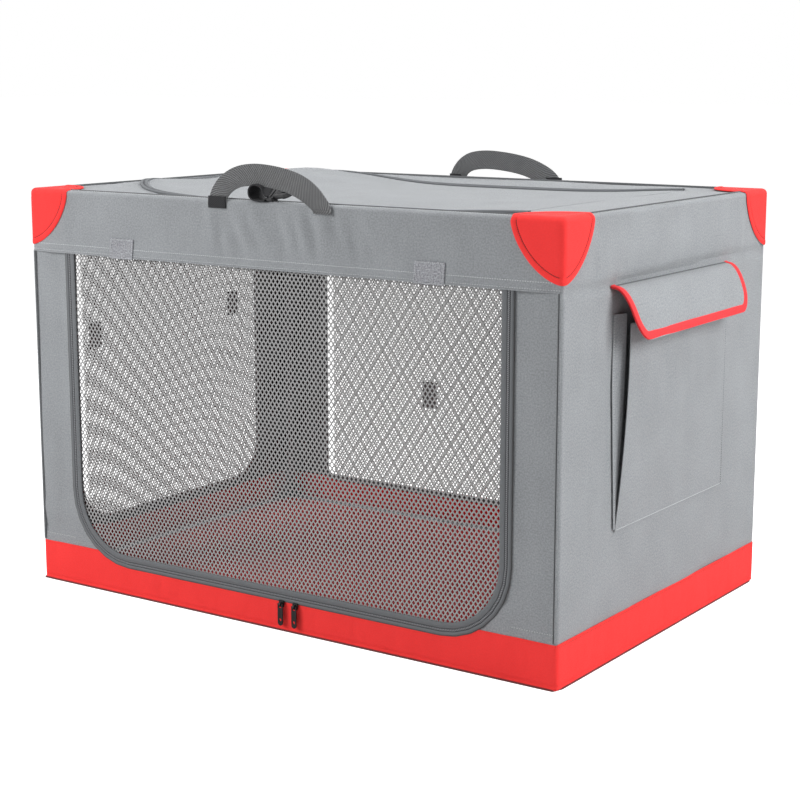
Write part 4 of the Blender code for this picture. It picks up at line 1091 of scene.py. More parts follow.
@dataclass
class FrontWall:
    """The grey cloth of the front: a header over two side strips, with two hook tabs.

    A hem seam is a rise above the header's edge and a thread's width, and the strips' seam runs between two
    places across, at a height. The tabs are places across, at one height, for pieces of one size. The feet
    are where the handle pulls the header into puckers.
    """

    door: MeshDoor
    head_cell: float = 0.006
    strip_cell: float = 0.009
    lip: float = 0.0022
    hem_seams: tuple = ((0.0125, 0.0012), (0.0035, 0.0008))
    seam_reach: float = 0.450
    strip_seam: tuple = (0.385, 0.448, 0.0745)
    strip_lap: float = 0.06
    tabs: tuple[float, float] = (-0.270, 0.260)
    tab: Point = (0.046, 0.029)
    tab_rise: float = 0.520
    tab_hem: float = 0.0016
    tab_out: float = 0.0019
    tab_thickness: float = 0.0014
    feet: tuple = (-0.080, -0.020, 0.045, 0.098, 0.155)
    ridge_levels: tuple = (0.064, 0.2, 0.36, HEADER)

    def header_relief(self, u: float, v: float) -> float:
        """The header's gentle unevenness, the puckers below the handle's feet, and its lap over the door."""
        lift = 0.0014 * crumple(u, v, 0.16, 1.0) + 0.0008 * crumple(u + v, v * 0.5, 0.06, 2.0)
        for foot in self.feet:
            near = math.exp(-((u - foot) / 0.030) ** 2) * math.exp(-((v - 0.556) / 0.030) ** 2)
            lift += 0.0044 * near * crumple(u + (v - 0.58) * 0.3, v * 0.22, 0.019, 4.0) - 0.0008 * near
        lap = 0.0027 * (1 - step(v, HEADER, HEADER + 0.030)) * (1 - step(abs(u), 0.412, 0.440))
        return lap + lift * calm(u, v, OUT_X)

    def strip_relief(self, u: float, v: float) -> float:
        """The side strips' hollow beside the zip, and a small pucker near the foot."""
        hollow = -0.0016 * math.exp(-((abs(u) - self.door.half - 0.034) / 0.016) ** 2)
        pucker = -0.0014 * math.exp(-((abs(u) - 0.436) / 0.02) ** 2 - ((v - 0.082) / 0.006) ** 2)
        creased = 0.0016 * math.exp(-((v - 0.100) / 0.028) ** 2) * crumple(u, v + u * 0.5, 0.030, 5.0)
        uneven = 0.0008 * crumple(u, v * 0.5, 0.08, 3.0)
        return hollow * min(1.0, (v - 0.05) / 0.05) + pucker + creased + uneven

    def build(self) -> None:
        """Builds the header, the two strips and the hook tabs."""
        self.header()
        for end, sign in (("left", -1), ("right", 1)):
            self.strip(end, sign)
        for k, place in enumerate(self.tabs):
            self.hook_tab(k, place)

    def header(self) -> None:
        """Builds the header with its lip and its hem's seams."""
        head = Work(Finish.GREY, Finish.GREY_THREAD, Finish.INNER)
        head.cloth(Side.FRONT, (-OUT_X, HEADER), (OUT_X, TOP + WRAP), self.head_cell,
                   relief=self.header_relief, out=0.0003, thickness=DOUBLED, lining=2)
        lip = on_side(Side.FRONT, level(OUT_X - 0.001, HEADER + 0.0008, 0.01), relief=self.header_relief)
        head.band(lip, outward(Side.FRONT), self.lip, self.lip)
        for rise, wide in self.hem_seams:
            head.seam(Side.FRONT, level(self.seam_reach, HEADER + rise, 0.01), 0.0005, self.header_relief,
                      length=0.0026, width=wide)
        head.seam(Side.FRONT, level(LONG_SEAM, TOP_SEAM), 0.0003, facing=UP)
        thing = head.piece("header", "base", "grey_cloth", ["front_header"], True)

    def strip(self, end: str, sign: int) -> None:
        """Builds the strip beside the door at one end, with the ridge of the crate's corner and a dark line
        painted as the shade beside it.

        Args:
            end: the end's name.
            sign: -1 for the left end and 1 for the right.
        """
        strip = Work(Finish.GREY, Finish.GREY_THREAD, Finish.INNER, Finish.SHADE_THREAD)
        low, high = sorted((sign * (self.door.half - self.strip_lap), sign * OUT_X))
        cut = self.door.outline(ZIP_GAP, HEADER + 0.02)
        strip.cloth(Side.FRONT, (low, WALL_FOOT), (high, HEADER + 0.008), self.strip_cell, [cut],
                    relief=self.strip_relief, out=-0.0004, lining=2)
        start, stop, rise = self.strip_seam
        strip.seam(Side.FRONT, line((sign * start, rise), (sign * stop, rise)), -0.0001)
        ridge = [softened(Vector((sign * (OUT_X - 0.0030), -OUT_Y - 0.0002, z))) for z in self.ridge_levels]
        strip.band(ridge, Vector((sign * 0.4, -1, 0)).normalized(), 0.0030, 0.0030)
        # A dark line painted as the shade beside the corner's ridge.
        dark = [Vector((sign * (OUT_X - 0.0058), -OUT_Y - 0.0004, z)) for z in self.ridge_levels]
        strip.band(spaced(dark, 0.02), outward(Side.FRONT), 0.0013, 0.0012, 3)
        thing = strip.piece(f"front_strip_{end}", "base", "grey_cloth", [f"front_panel_{end}"], True)

    def hook_tab(self, number: int, place: float) -> None:
        """Builds one hook tab, sewn round inside its edge.

        Args:
            number: its number in its name.
            place: its middle, across the front.
        """
        tab = Work(Finish.TAB, Finish.GREY_THREAD)
        wide, tall = self.tab
        low, high = ((place + end * wide / 2, self.tab_rise + end * tall / 2) for end in (-1, 1))
        tab.cloth(Side.FRONT, low, high, 0.003, relief=self.header_relief, out=self.tab_out,
                  thickness=self.tab_thickness)
        left, foot, right, head = (low[0] + self.tab_hem, low[1] + self.tab_hem, high[0] - self.tab_hem,
                                   high[1] - self.tab_hem)
        box = [(left, foot), (right, foot), (right, head), (left, head)]
        for a, b in zip(box, [*box[1:], box[0]]):
            tab.seam(Side.FRONT, line(a, b, 0.005), 0.0021, self.header_relief, pitch=0.0030, length=0.0024,
                     width=0.0008)
        tab.piece(f"hook_tab_{number}", "base", "grey_cloth", (), True)


@dataclass
class RearWall:
    """The rear cloth with its mesh window.

    The binding is a distance from the window's edge, a width and a thickness. The patch is two corners.
    """

    half: float = 0.360
    foot: float = 0.060
    corner: float = 0.015
    cell: float = 0.012
    sink: float = 0.0005
    net_lap: float = 0.004
    net_sink: float = 0.0022
    seam_gap: float = 0.006
    binding: tuple = (0.003, 0.010, 0.0012)
    patch: tuple[Point, Point] = ((0.127, 0.205), (0.155, 0.250))

    def window(self, grow: float) -> list[Point]:
        """The window's outline, grown by a width."""
        half, foot, head, corner = self.half + grow, self.foot - grow, HEADER + grow, self.corner + grow
        points = []
        for across, up, start in ((1, 1, 0), (-1, 1, 90), (-1, -1, 180), (1, -1, 270)):
            centre = (across * (half - corner), head - corner if up > 0 else foot + corner)
            points += arc(centre, corner, start, start + 90, 4)
        return points

    def relief(self, u: float, v: float) -> float:
        """The wall's gentle unevenness."""
        return flattened(0.0012 * crumple(u, v, 0.14, 7.0) * calm(u, v, OUT_X), u, OUT_X) + tucked(v)

    def build(self) -> None:
        """Builds the wall and the window's mesh with its binding."""
        wall = Work(Finish.GREY, Finish.GREY_THREAD, Finish.INNER)
        wall.cloth(Side.REAR, (-OUT_X, WALL_FOOT), (OUT_X, TOP + WRAP), self.cell, [self.window(0.0)],
                   relief=self.relief, out=-self.sink, lining=2)
        round_window = self.window(self.seam_gap)
        wall.seam(Side.REAR, [*round_window, round_window[0]])
        wall.seam(Side.REAR, level(LONG_SEAM, TOP_SEAM), facing=UP)
        thing = wall.piece("rear_wall", "base", "grey_cloth", ["rear_panel"], True)
        pattern = MeshDoor("rear_window", Side.REAR, "base", self.half, self.foot, self.corner, pitch=0.0060,
                           row=0.0043, strand=0.00100)
        net = pattern.net(self.window(self.net_lap), -self.net_sink, 4)
        thing = net.piece("rear_window_mesh", "base", "grey_net", ["rear_window_net"], True,
                          pattern.net_angle)
        edge = Work(Finish.BINDING)
        grow, width, thick = self.binding
        edge.trim(Side.REAR, self.window(grow), -0.0026, width, thick, 0.01, closed=True)
        edge.piece("rear_window_edging", "base", "grey_cloth", (), True)
        net_patch("rear_net_patch", Side.REAR, "base", *self.patch)


@dataclass
class EndWalls:
    """The two end cloths: the left round its mesh door, and the right behind the pocket.

    The hem over the door is half a length and a rise.
    """

    door: MeshDoor
    left_cell: float = 0.012
    right_cell: float = 0.0045
    hem: Point = (0.28, 0.0125)
    lip: float = 0.0024

    def left_relief(self, u: float, v: float) -> float:
        """The left end's gentle unevenness."""
        return flattened(0.0012 * crumple(u, v, 0.12, 11.0) * calm(u, v, OUT_Y), u, OUT_Y) + tucked(v)

    def right_relief(self, u: float, v: float) -> float:
        """The right end's shape: full below its top edge, with a crease where the pocket's flap is sewn.

        Args:
            u: the place across the end.
            v: the height.

        Returns:
            How far the cloth stands out.
        """
        full = 0.0030 * math.exp(-((v - 0.540) / 0.028) ** 2)
        sway = 0.003 * math.sin(u * 7)
        deep = 0.6 + 0.4 * math.exp(-(u / 0.2) ** 4)
        crease = -0.0066 * math.exp(-((v - 0.509 - sway) / 0.0065) ** 2) * deep
        drape = 0.0018 * crumple(u, v * 0.35, 0.10, 13.0) + 0.0006 * crumple(u, v, 0.05, 14.0)
        beside = math.exp(-((u + 0.182) / 0.012) ** 2)
        pulled = -0.0016 * beside * step(v, 0.19, 0.3) * (1 - step(v, 0.46, 0.5))
        lift = (full + drape) * calm(u, v, OUT_Y) + (crease + pulled) * step(OUT_Y - abs(u), 0.0, 0.012)
        return flattened(lift, u, OUT_Y) + tucked(v)

    def build(self) -> None:
        """Builds both end cloths."""
        left = Work(Finish.GREY, Finish.GREY_THREAD, Finish.INNER)
        left.cloth(Side.LEFT, (-OUT_Y, WALL_FOOT), (OUT_Y, TOP + WRAP), self.left_cell,
                   [self.door.outline(ZIP_GAP)], relief=self.left_relief, out=-0.0005, lining=2)
        left.seam(Side.LEFT, level(SHORT_SEAM, TOP_SEAM), facing=UP)
        left.seam(Side.LEFT, level(self.hem[0], HEADER + self.hem[1]))
        lip = on_side(Side.LEFT, level(OUT_Y - 0.001, HEADER + 0.001))
        left.band(lip, outward(Side.LEFT), self.lip, self.lip)
        thing = left.piece("left_wall", "base", "grey_cloth", ["left_panel"], True)
        right = Work(Finish.GREY, Finish.GREY_THREAD, Finish.INNER)
        right.cloth(Side.RIGHT, (-OUT_Y, WALL_FOOT), (OUT_Y, TOP + WRAP), self.right_cell,
                    relief=self.right_relief, out=-0.0003, lining=2)
        right.seam(Side.RIGHT, level(SHORT_SEAM, TOP_SEAM), facing=UP)
        thing = right.piece("right_wall", "base", "grey_cloth", ["right_panel"], True)


@dataclass
class BaseTray:
    """The red band round the base, its floor, and the padded floor cloth.

    The band is cut out below each door, and its lower edge is piped. The pad's quilting seams part it in
    three, and its corners are notched for the leg brackets.
    """

    front: MeshDoor
    left: MeshDoor
    low_edge: float = 0.006
    tuck: float = 0.018
    cell: float = 0.0034
    cut_head: float = 0.16
    cut_gap: float = 0.0172
    floor_gap: float = 0.007
    floor_level: float = 0.0009
    floor_thickness: float = 0.0014
    notch: Point = (0.018, 0.027)
    pad_foot: float = 0.0024
    pad_edge: float = 0.0125
    pad_crown: float = 0.006
    pad_round: float = 0.012
    quilt_depth: float = 0.0028
    quilt_width: float = 0.006

    def relief(self, u: float, v: float) -> float:
        """The band's piped lower edge, its turned upper hem and its unevenness."""
        groove = -0.0009 * math.exp(-((v - 0.0065) / 0.0012) ** 2)
        pipe = 0.0005 * math.exp(-((v - 0.0030) / 0.0022) ** 2)
        hem = 0.0003 if v > BAND - 0.0022 else 0.0
        wave = 0.0006 * crumple(u, v, 0.07, 17.0) * math.sin(math.pi * min(1.0, max(0.0, v / BAND)))
        return groove + pipe + hem + wave

    def build(self) -> None:
        """Builds the four sides of the band with their floor, and the pad."""
        tray = Work(Finish.RED, Finish.DARK_THREAD)
        cuts = {Side.FRONT: self.front, Side.LEFT: self.left}
        for side, wide in ((Side.FRONT, OUT_X), (Side.REAR, OUT_X), (Side.LEFT, OUT_Y), (Side.RIGHT, OUT_Y)):
            cut = [cuts[side].outline(self.cut_gap, self.cut_head)] if side in cuts else []
            tray.cloth(side, (-wide, -self.tuck), (wide, BAND), self.cell, cut, relief=self.relief,
                       out=0.0003, thickness=0.0020, low_edge=self.low_edge)
            if not cut:
                tray.seam(side, level(wide - 0.004, BAND - 0.0032), 0.0006, length=0.0024, width=0.0005)
        for x, y in ((-1, -1), (-1, 1), (1, -1), (1, 1)):
            ridge = [softened(Vector((x * (OUT_X - 0.0012), y * (OUT_Y - 0.0006), z)), self.low_edge)
                     for z in (0.004, 0.02, 0.04, BAND)]
            tray.band(ridge, Vector((x, y, 0)).normalized(), 0.0020, 0.0020)
        # A dark red line round the band's foot, painted as the shadow under it.
        foot = [Vector((x * (OUT_X - 0.0010), y * (OUT_Y - 0.0010), 0.0017))
                for x, y in ((-1, -1), (1, -1), (1, 1), (-1, 1))]
        tray.band(spaced(foot, 0.02, True), UP, 0.0030, 0.0032, 1, closed=True)
        floor = bmesh.new()
        floor.loops.layers.uv.new("cloth")
        bmesh.ops.create_cube(floor, size=1.0)
        size = ((OUT_X - self.floor_gap) * 2, (OUT_Y - self.floor_gap) * 2, self.floor_thickness)
        bmesh.ops.scale(floor, vec=size, verts=floor.verts)
        bmesh.ops.translate(floor, vec=(0, 0, self.floor_level), verts=floor.verts)
        tray.take(floor)
        thing = tray.piece("red_base", "base", "red_cloth", ["base_tray"])
        self.pad()

    def pad(self) -> None:
        """The floor pad: quilted in three rows, soft at its edges, and cut round the leg brackets."""
        low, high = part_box("floor_pad")
        part = flat_grid(low[:2], high[:2], 72, 48)
        gone = []
        for piece in part.faces:
            middle = piece.calc_center_median()
            if abs(middle.x) > high.x - self.notch[0] and abs(middle.y) > high.y - self.notch[1]:
                gone.append(piece)
        bmesh.ops.delete(part, geom=gone, context="FACES")
        chart(part)
        for vertex in part.verts:
            x, y = vertex.co.x, vertex.co.y
            share = min(1.0, min(high.x - abs(x), high.y - abs(y)) / self.pad_round)
            crown = self.pad_crown * math.sqrt(max(0.0, share * (2 - share)))
            seam = math.exp(-((abs(x) - (high.x - low.x) / 6) / self.quilt_width) ** 2)
            vertex.co.z = self.pad_edge + crown - self.quilt_depth * seam + 0.0007 * crumple(x, y, 0.06, 19.0)
        grown = bmesh.ops.extrude_face_region(part, geom=list(part.faces), use_keep_orig=True)
        for vertex in new_verts(grown):
            vertex.co.z = self.pad_foot
        work = Work(Finish.PAD)
        work.take(part)
        thing = work.piece("floor_cushion", "base", "red_pad_cloth", ["floor_pad"])


@dataclass
class Roof:
    """The top cloth with its zipped hatch, whose left end is rounded, wider at the front than at the rear.

    The zip's rows give each band's distance from the hatch, width, thickness, lift and finish.
    """

    left: float = 0.383
    hinge: float = 0.345
    half: float = 0.241
    corner: float = 0.050
    turn: float = 0.190
    zip_end: float = 0.370
    cell: float = 0.010
    cut_gap: float = 0.0105
    lap: float = 0.003
    # Width and thickness of the ridge on the roof's edge seam, painted dark as the seam's shadow.
    shaded_seam_ridge: Point = (0.0022, 0.0036)
    lid_lap: float = 0.004
    zip_rows: tuple = ((0.0022, 0.0050, 0.0034, 0.0006, 0), (0.0055, 0.0028, 0.0024, 0.0006, 2),
                       (0.0090, 0.0046, 0.0034, 0.0004, 0))

    def outline(self, grow: float) -> list[Point]:
        """The hatch's outline, grown by a width on its three free sides, anticlockwise from its hinge."""
        left, half, corner, turn = -self.left - grow, self.half + grow, self.corner + grow, self.turn + grow
        points = [(self.hinge, half)]
        points += arc((left + corner, half - corner), corner, 90, 180, 8)
        points += arc((left + turn, turn - half), turn, 180, 270, 12)
        return [*points, (self.hinge, -half)]

    def settle(self, u: float, v: float) -> float:
        """How the slack top cloth lies: hollow in the middle, lifted at the hatch's left end."""
        free = (1 - step(abs(v), 0.240, 0.288)) * (1 - step(abs(u), 0.395, 0.438))
        hollow = (0.0078 + 0.0030 * step(v, -0.1, 0.2)) * math.exp(-((u - 0.04) / 0.26) ** 4)
        lip = 0.0085 * math.exp(-((u + 0.350) / 0.07) ** 2 - ((v + 0.140) / 0.08) ** 2)
        swell = 0.0125 * math.exp(-((u + 0.27) / 0.11) ** 2 - ((v - 0.14) / 0.12) ** 2)
        return (lip + swell - hollow) * free

    def relief(self, u: float, v: float) -> float:
        """The roof's unevenness: it rises a little towards the hatch's zip."""
        return 0.0010 * crumple(u, v, 0.15, 23.0) - 0.0012 + self.settle(u, v)

    def bulge(self, u: float, v: float) -> float:
        """The hatch's cloth, which stands up in soft folds."""
        across = max(0.0, 1 - (v / self.half) ** 4)
        along = max(0.0, 1 - ((u + 0.02) / 0.366) ** 6)
        puff = math.exp(-((u + 0.27) / 0.10) ** 2 - ((v - 0.02) / 0.18) ** 2)
        folds = 0.0022 * crumple(u * 0.35 + v * 0.6, v - u * 0.5, 0.055, 29.0)
        lift = 0.001 + 0.004 * puff + folds * math.exp(-((u + 0.27) / 0.13) ** 2)
        lift += 0.0014 * crumple(u, v, 0.11, 29.0)
        return lift * across * along - 0.0006 + self.settle(u, v)

    def settled(self, route: Sequence[Point], pitch: float, lift: float) -> list[Vector]:
        """The points of a route across the roof, at even steps and a lift above its settled cloth."""
        flat = spaced([Vector((u, v, 0)) for u, v in route], pitch)
        return [Vector((p.x, p.y, TOP + lift + self.settle(p.x, p.y))) for p in flat]

    def build(self) -> None:
        """Builds the roof, the zip and the hatch."""
        roof = Work(Finish.GREY, Finish.GREY_THREAD, Finish.SHADE_THREAD)
        wide, deep = OUT_X - WRAP, OUT_Y - WRAP
        far = (wide + self.lap, deep + self.lap)
        roof.cloth(Side.ROOF, (-far[0], -far[1]), far, self.cell, [self.outline(self.cut_gap)],
                   relief=self.relief)
        # A dark ridge along the roof's edge seam, painted dark as the shadow in the seam.
        corners = [Vector((x * (wide - 0.0006), y * (deep - 0.0006), TOP + 0.0001))
                   for x, y in ((-1, -1), (1, -1), (1, 1), (-1, 1))]
        roof.band(spaced(corners, 0.02, True), UP, *self.shaded_seam_ridge, 2, closed=True)
        thing = roof.piece("roof", "top", "grey_cloth", ["top_cover"])
        run = Work(Finish.BINDING, Finish.COIL, Finish.TAPE)
        for grow, width, thick, lift, slot in self.zip_rows:
            route = [*self.outline(grow), (self.zip_end, -self.half - grow)]
            run.band(self.settled(route, 0.006, lift), UP, width, thick, slot, sides=10)
        run.piece("hatch_zip_run", "top", "grey_zip_tape", ["hatch_zip"])
        lid = Work(Finish.GREY, Finish.GREY_THREAD)
        lid.cloth(Side.ROOF, (-self.left - self.lid_lap, -self.half - self.lid_lap),
                  (self.hinge, self.half + self.lid_lap), self.cell, keep=self.outline(0.0),
                  relief=self.bulge)
        lid.stitches(self.settled(self.outline(-self.lid_lap)[1:-1], 0.01, 0.0004), UP, 1)
        thing = lid.piece("roof_hatch", "hatch", "grey_cloth", ["hatch_panel"])


@dataclass
class CornerCaps:
    """The red patches over the upper corners, each with a petal on three faces.

    A petal lies between two of the corner's edges, numbered along, across and down. Its power is 2 for a
    round outline and less for one that comes to a point.
    """

    reach: float = 0.076
    drop: float = 0.082
    rim: float = 0.0085
    lift: float = 0.0024
    steps: int = 40
    rings: int = 44
    stitches: int = 24
    petals: tuple = ((0, 1, 2.2), (0, 2, 1.65), (1, 2, 1.65))
    weld: float = 0.0002
    seam_lift: float = 0.0016
    ridge_drops: tuple = (0.012, 0.03, 0.05, 0.07, 0.078)

    def radius(self, a: float, b: float, power: float) -> float:
        """How far a petal reaches in a direction, with its shoulders drawn in on the roof's edges."""
        reach = 1 / (abs(a) ** power + abs(b) ** power) ** (1 / power)
        drawn = math.exp(-(b / 0.06) ** 2)
        if power > 2:
            drawn += math.exp(-(a / 0.06) ** 2)
        return reach * (1 - 0.03 * drawn)

    def spot(self, tip: Vector, edges: tuple[Vector, Vector], power: float, share: float,
             turn: float) -> Vector:
        """A place of a flat petal.

        Args:
            tip: the corner of the sharp box.
            edges: two edges, as long as the petal reaches along them.
            power: the petal's power.
            share: how far it lies from the tip, as a share of the petal's reach.
            turn: the angle from the first edge to the second.

        Returns:
            The place on the sharp box.
        """
        a, b = math.cos(turn), math.sin(turn)
        radius = share * self.radius(a, b, power)
        return tip + edges[0] * a * radius + edges[1] * b * radius

    def petal(self, part: bmesh.types.BMesh, tip: Vector, edges: tuple[Vector, Vector],
              power: float) -> None:
        """Adds one petal, which spreads from the corner's tip between two edges.

        Args:
            part: the mesh that it joins.
            tip: the corner of the sharp box.
            edges: two edges, as long as the petal reaches along them.
            power: the petal's power.
        """
        core = Vector((math.copysign(OUT_X - EDGE, tip.x), math.copysign(OUT_Y - EDGE, tip.y), TOP - EDGE))
        made = bmesh.ops.create_grid(part, x_segments=self.rings, y_segments=self.steps, size=0.5)["verts"]
        for vertex in made:
            share = vertex.co.x + 0.5
            place = self.spot(tip, edges, power, share, (vertex.co.y + 0.5) * math.pi / 2)
            edge = (1 - share) * self.reach
            lift = self.lift - 0.0006 * step(edge, self.rim - 0.002, self.rim + 0.001)
            lift -= 0.0008 * math.exp(-((edge - self.rim) / 0.0011) ** 2) + 0.0012 * step(share, 0.97, 1.0)
            rest = place - core
            for k in range(3):
                if rest[k] * (tip[k] - core[k]) < 0:
                    rest[k] = 0.0
            deep = max(abs(c) for c in rest)
            vertex.co = place - rest + rest.normalized() * (deep + lift)

    @staticmethod
    def face_place(loop: bmesh.types.BMLoop) -> list[float]:
        """A corner's place along the two directions that its face spreads most in."""
        axis = max(range(3), key=lambda k: abs(loop.face.normal[k]))
        return [loop.vert.co[k] for k in range(3) if k != axis]

    def build(self) -> None:
        """Builds the four patches."""
        for end, x in (("left", -1), ("right", 1)):
            for face, y in (("front", -1), ("rear", 1)):
                self.patch(x, y).piece(f"corner_cap_{face}_{end}", "top", "red_cloth",
                                       [f"corner_patch_{face}_{end}"])

    def patch(self, x: int, y: int) -> Work:
        """Builds the patch over one corner.

        Args:
            x: -1 for the left end and 1 for the right.
            y: -1 for the front and 1 for the rear.

        Returns:
            The patch in the making.
        """
        part = bmesh.new()
        tip = Vector((x * OUT_X, y * OUT_Y, TOP))
        legs = [Vector((-x * self.reach, 0, 0)), Vector((0, -y * self.reach, 0)), Vector((0, 0, -self.drop))]
        for first, second, power in self.petals:
            self.petal(part, tip, (legs[first], legs[second]), power)
        bmesh.ops.remove_doubles(part, verts=part.verts, dist=self.weld)
        bmesh.ops.recalc_face_normals(part, faces=part.faces)
        if sum(f.normal.dot(f.calc_center_median() - tip * 0.8) for f in part.faces) < 0:
            bmesh.ops.reverse_faces(part, faces=part.faces)
        chart(part, self.face_place)
        thicken(part, DOUBLED)
        work = Work(Finish.RED, Finish.DARK_THREAD)
        work.take(part)
        for first, second, power in self.petals:
            self.seam(work, tip, (legs[first], legs[second]), power)
        out = Vector((x, y, 0)).normalized()
        ridge = [softened(tip + Vector((-x * 0.0008, -y * 0.0008, -d))) + out * self.seam_lift
                 for d in self.ridge_drops]
        work.band(ridge, out, 0.0034, 0.0026)
        return work

    def seam(self, work: Work, tip: Vector, edges: tuple[Vector, Vector], power: float) -> None:
        """Sews a petal along the inside of its rim.

        Args:
            work: the patch.
            tip: the corner of the sharp box.
            edges: the petal's two edges.
            power: the petal's power.
        """
        share = 1 - self.rim / self.reach
        out = edges[0].cross(edges[1]).normalized()
        out *= 1 if out.dot(tip - Vector((0, 0, 0.3))) > 0 else -1
        places = [self.spot(tip, edges, power, share, math.pi / 2 * k / self.stitches)
                  for k in range(1, self.stitches)]
        work.stitches([softened(p + out * self.seam_lift) for p in places], out, 1, pitch=0.0026,
                      length=0.0024, width=0.0010)


@dataclass
class Handles:
    """The two webbing handles on the long edges of the roof.

    Each point of the route is a place along the crate, a height, and how far the strap turns to the side and
    tilts up there. The rises are the shares of that height that the slack handles keep.
    """

    half: float = 0.090
    foot: float = 0.5865
    lean: float = 0.010
    width: float = 0.030
    thickness: float = 0.0020
    face: float = 0.3038
    slump_rise: float = 0.050
    stitch_face: float = 0.3062
    stitch_rises: Point = (0.5885, 0.5920)
    stitch_reach: float = 0.012
    front_rise: float = 0.92
    rear_rise: float = 0.81
    fold: tuple = ((0, 0.5868), (0, 0.596), (-0.0006, 0.603))
    route: tuple = ((-0.090, 0.5865, 0, 0), (-0.090, 0.596, 0, 0), (-0.087, 0.608, 0, 0.1),
                    (-0.077, 0.623, 0.1, 0.2), (-0.060, 0.634, 0.1, 0.2), (-0.035, 0.638, 0, 0.15),
                    (-0.010, 0.637, 0, 0.15), (0.018, 0.633, 0, 0.2), (0.042, 0.627, -0.1, 0.3),
                    (0.062, 0.618, -0.25, 0.3), (0.077, 0.608, -0.3, 0.2), (0.087, 0.598, -0.15, 0),
                    (0.090, 0.592, 0, 0), (0.090, 0.5865, 0, 0))

    def build(self) -> None:
        """Builds both handles as straps that stand in an arch."""
        for name, side in (("front", -1), ("rear", 1)):
            out = Vector((0, side, 0))
            face = side * (self.face + self.thickness / 2)
            places, facing = [], []
            for x, z, turn, tilt in smoothed(self.route):
                z = self.foot + (z - self.foot) * (self.front_rise if side < 0 else self.rear_rise)
                rise = min(1.0, (z - self.foot) / self.slump_rise)
                places.append(Vector((x, face - side * self.lean * rise ** 2, z)))
                facing.append(Vector((turn, side, tilt if side < 0 else -0.3 * tilt)))
            work = Work(Finish.WEBBING, Finish.BLACK_THREAD, Finish.FOLDED)
            work.band(places, facing, self.width, self.thickness, sides=16, squareness=0.25)
            # The folded feet are painted near-black as their shade: the front handle's left foot and both of
            # the rear handle's.
            for x in ((-self.half,) if side < 0 else (-self.half, self.half)):
                fold = [Vector((x, face + side * s, z)) for s, z in self.fold]
                work.band(fold, out, self.width + 0.001, self.thickness + 0.0018, 2, sides=16, squareness=0.3)
            for x in (-self.half, self.half):
                for z in self.stitch_rises:
                    row = [Vector((x + reach, side * self.stitch_face, z))
                           for reach in (-self.stitch_reach, self.stitch_reach)]
                    work.stitches(row, out, 1, pitch=0.0026, length=0.0020, width=0.0006)
            work.piece(f"carry_strap_{name}", f"{name}_handle", "dark_webbing", [f"{name}_handle"])


@dataclass
class Buckle:
    """The plug of a side-release buckle on its loop of webbing.

    The plug's bars are each a width, a thickness and a flat route, from its back end and its middle line. The
    prongs' bars are there again on the other side.
    """

    back: float = -0.007
    depth: float = -0.2905
    low: float = 0.5998
    rise: float = 0.021
    reach: float = 0.035
    width: float = 0.030
    thickness: float = 0.0024
    plug_rise: float = 0.0085
    tilt: float = 0.26
    roll: float = 35.0
    bars: tuple = ((0.0040, 0.0044, ((0.002, -0.013), (0.002, 0.013))),
                   (0.0040, 0.0056, ((0.010, -0.013), (0.010, 0.013))),
                   (0.0036, 0.0050, ((0.0015, -0.0122), (0.0105, -0.0122))),
                   (0.0036, 0.0050, ((0.0015, 0.0122), (0.0105, 0.0122))),
                   (0.0046, 0.0028, ((0.010, 0), (0.035, 0))))
    prong: tuple = ((0.0040, 0.0060, ((0.010, 0.0076), (0.018, 0.0086), (0.026, 0.0104), (0.033, 0.0124),
                                      (0.0375, 0.0116), (0.0400, 0.0084))),
                    (0.0028, 0.0056, ((0.029, 0.0112), (0.028, 0.0132), (0.0320, 0.0134))))

    def build(self) -> None:
        """Builds the loop, and the plug with its bar, guide and two sprung prongs."""
        self.loop()
        self.plug()

    def loop(self) -> None:
        """Builds the loop of webbing, which runs out along the roof and back over itself."""
        loop = Work(Finish.FOLDED, Finish.BLACK_THREAD)
        radius = self.rise / 2
        flat = [(self.back, 0.0), *arc((radius - self.reach, radius), radius, 270, 90, 10)]
        flat += [(-0.021, self.rise), (-0.014, self.rise - 0.0025), (-0.008, 0.0085), (-0.0045, 0.0055)]
        route = spaced([Vector((x, self.depth, self.low + z)) for x, z in flat], 0.0025)
        facing = []
        for k in range(len(route)):
            ahead = route[min(k + 1, len(route) - 1)] - route[max(k - 1, 0)]
            facing.append(Vector((ahead.z, 0, -ahead.x)).normalized())
        loop.band(route, facing, self.width, self.thickness, sides=16, squareness=0.25)
        loop.piece("buckle_loop", "buckle", "dark_webbing", ["buckle_strap"])

    def plug(self) -> None:
        """Builds the plug, rolled and tilted as it lies."""
        plug = Work(Finish.BLACK)
        roll = math.radians(self.roll)
        bars = list(self.bars)
        for side in (-1, 1):
            bars += [(width, thick, [(x, side * y) for x, y in way]) for width, thick, way in self.prong]
        up = Vector((-self.tilt, -math.sin(roll), math.cos(roll))).normalized()
        for width, thick, way in bars:
            route = []
            for x, y in way:
                rise = self.plug_rise + y * math.sin(roll) + max(0.0, x - 0.008) * self.tilt
                route.append(Vector((self.back + x, self.depth + y * math.cos(roll), self.low + rise)))
            plug.band(spaced(route, 0.003), up, width * 1.15, thick * 1.2, sides=12)
        plug.piece("buckle_clip", "buckle", "black_plastic", ["buckle_plug"])


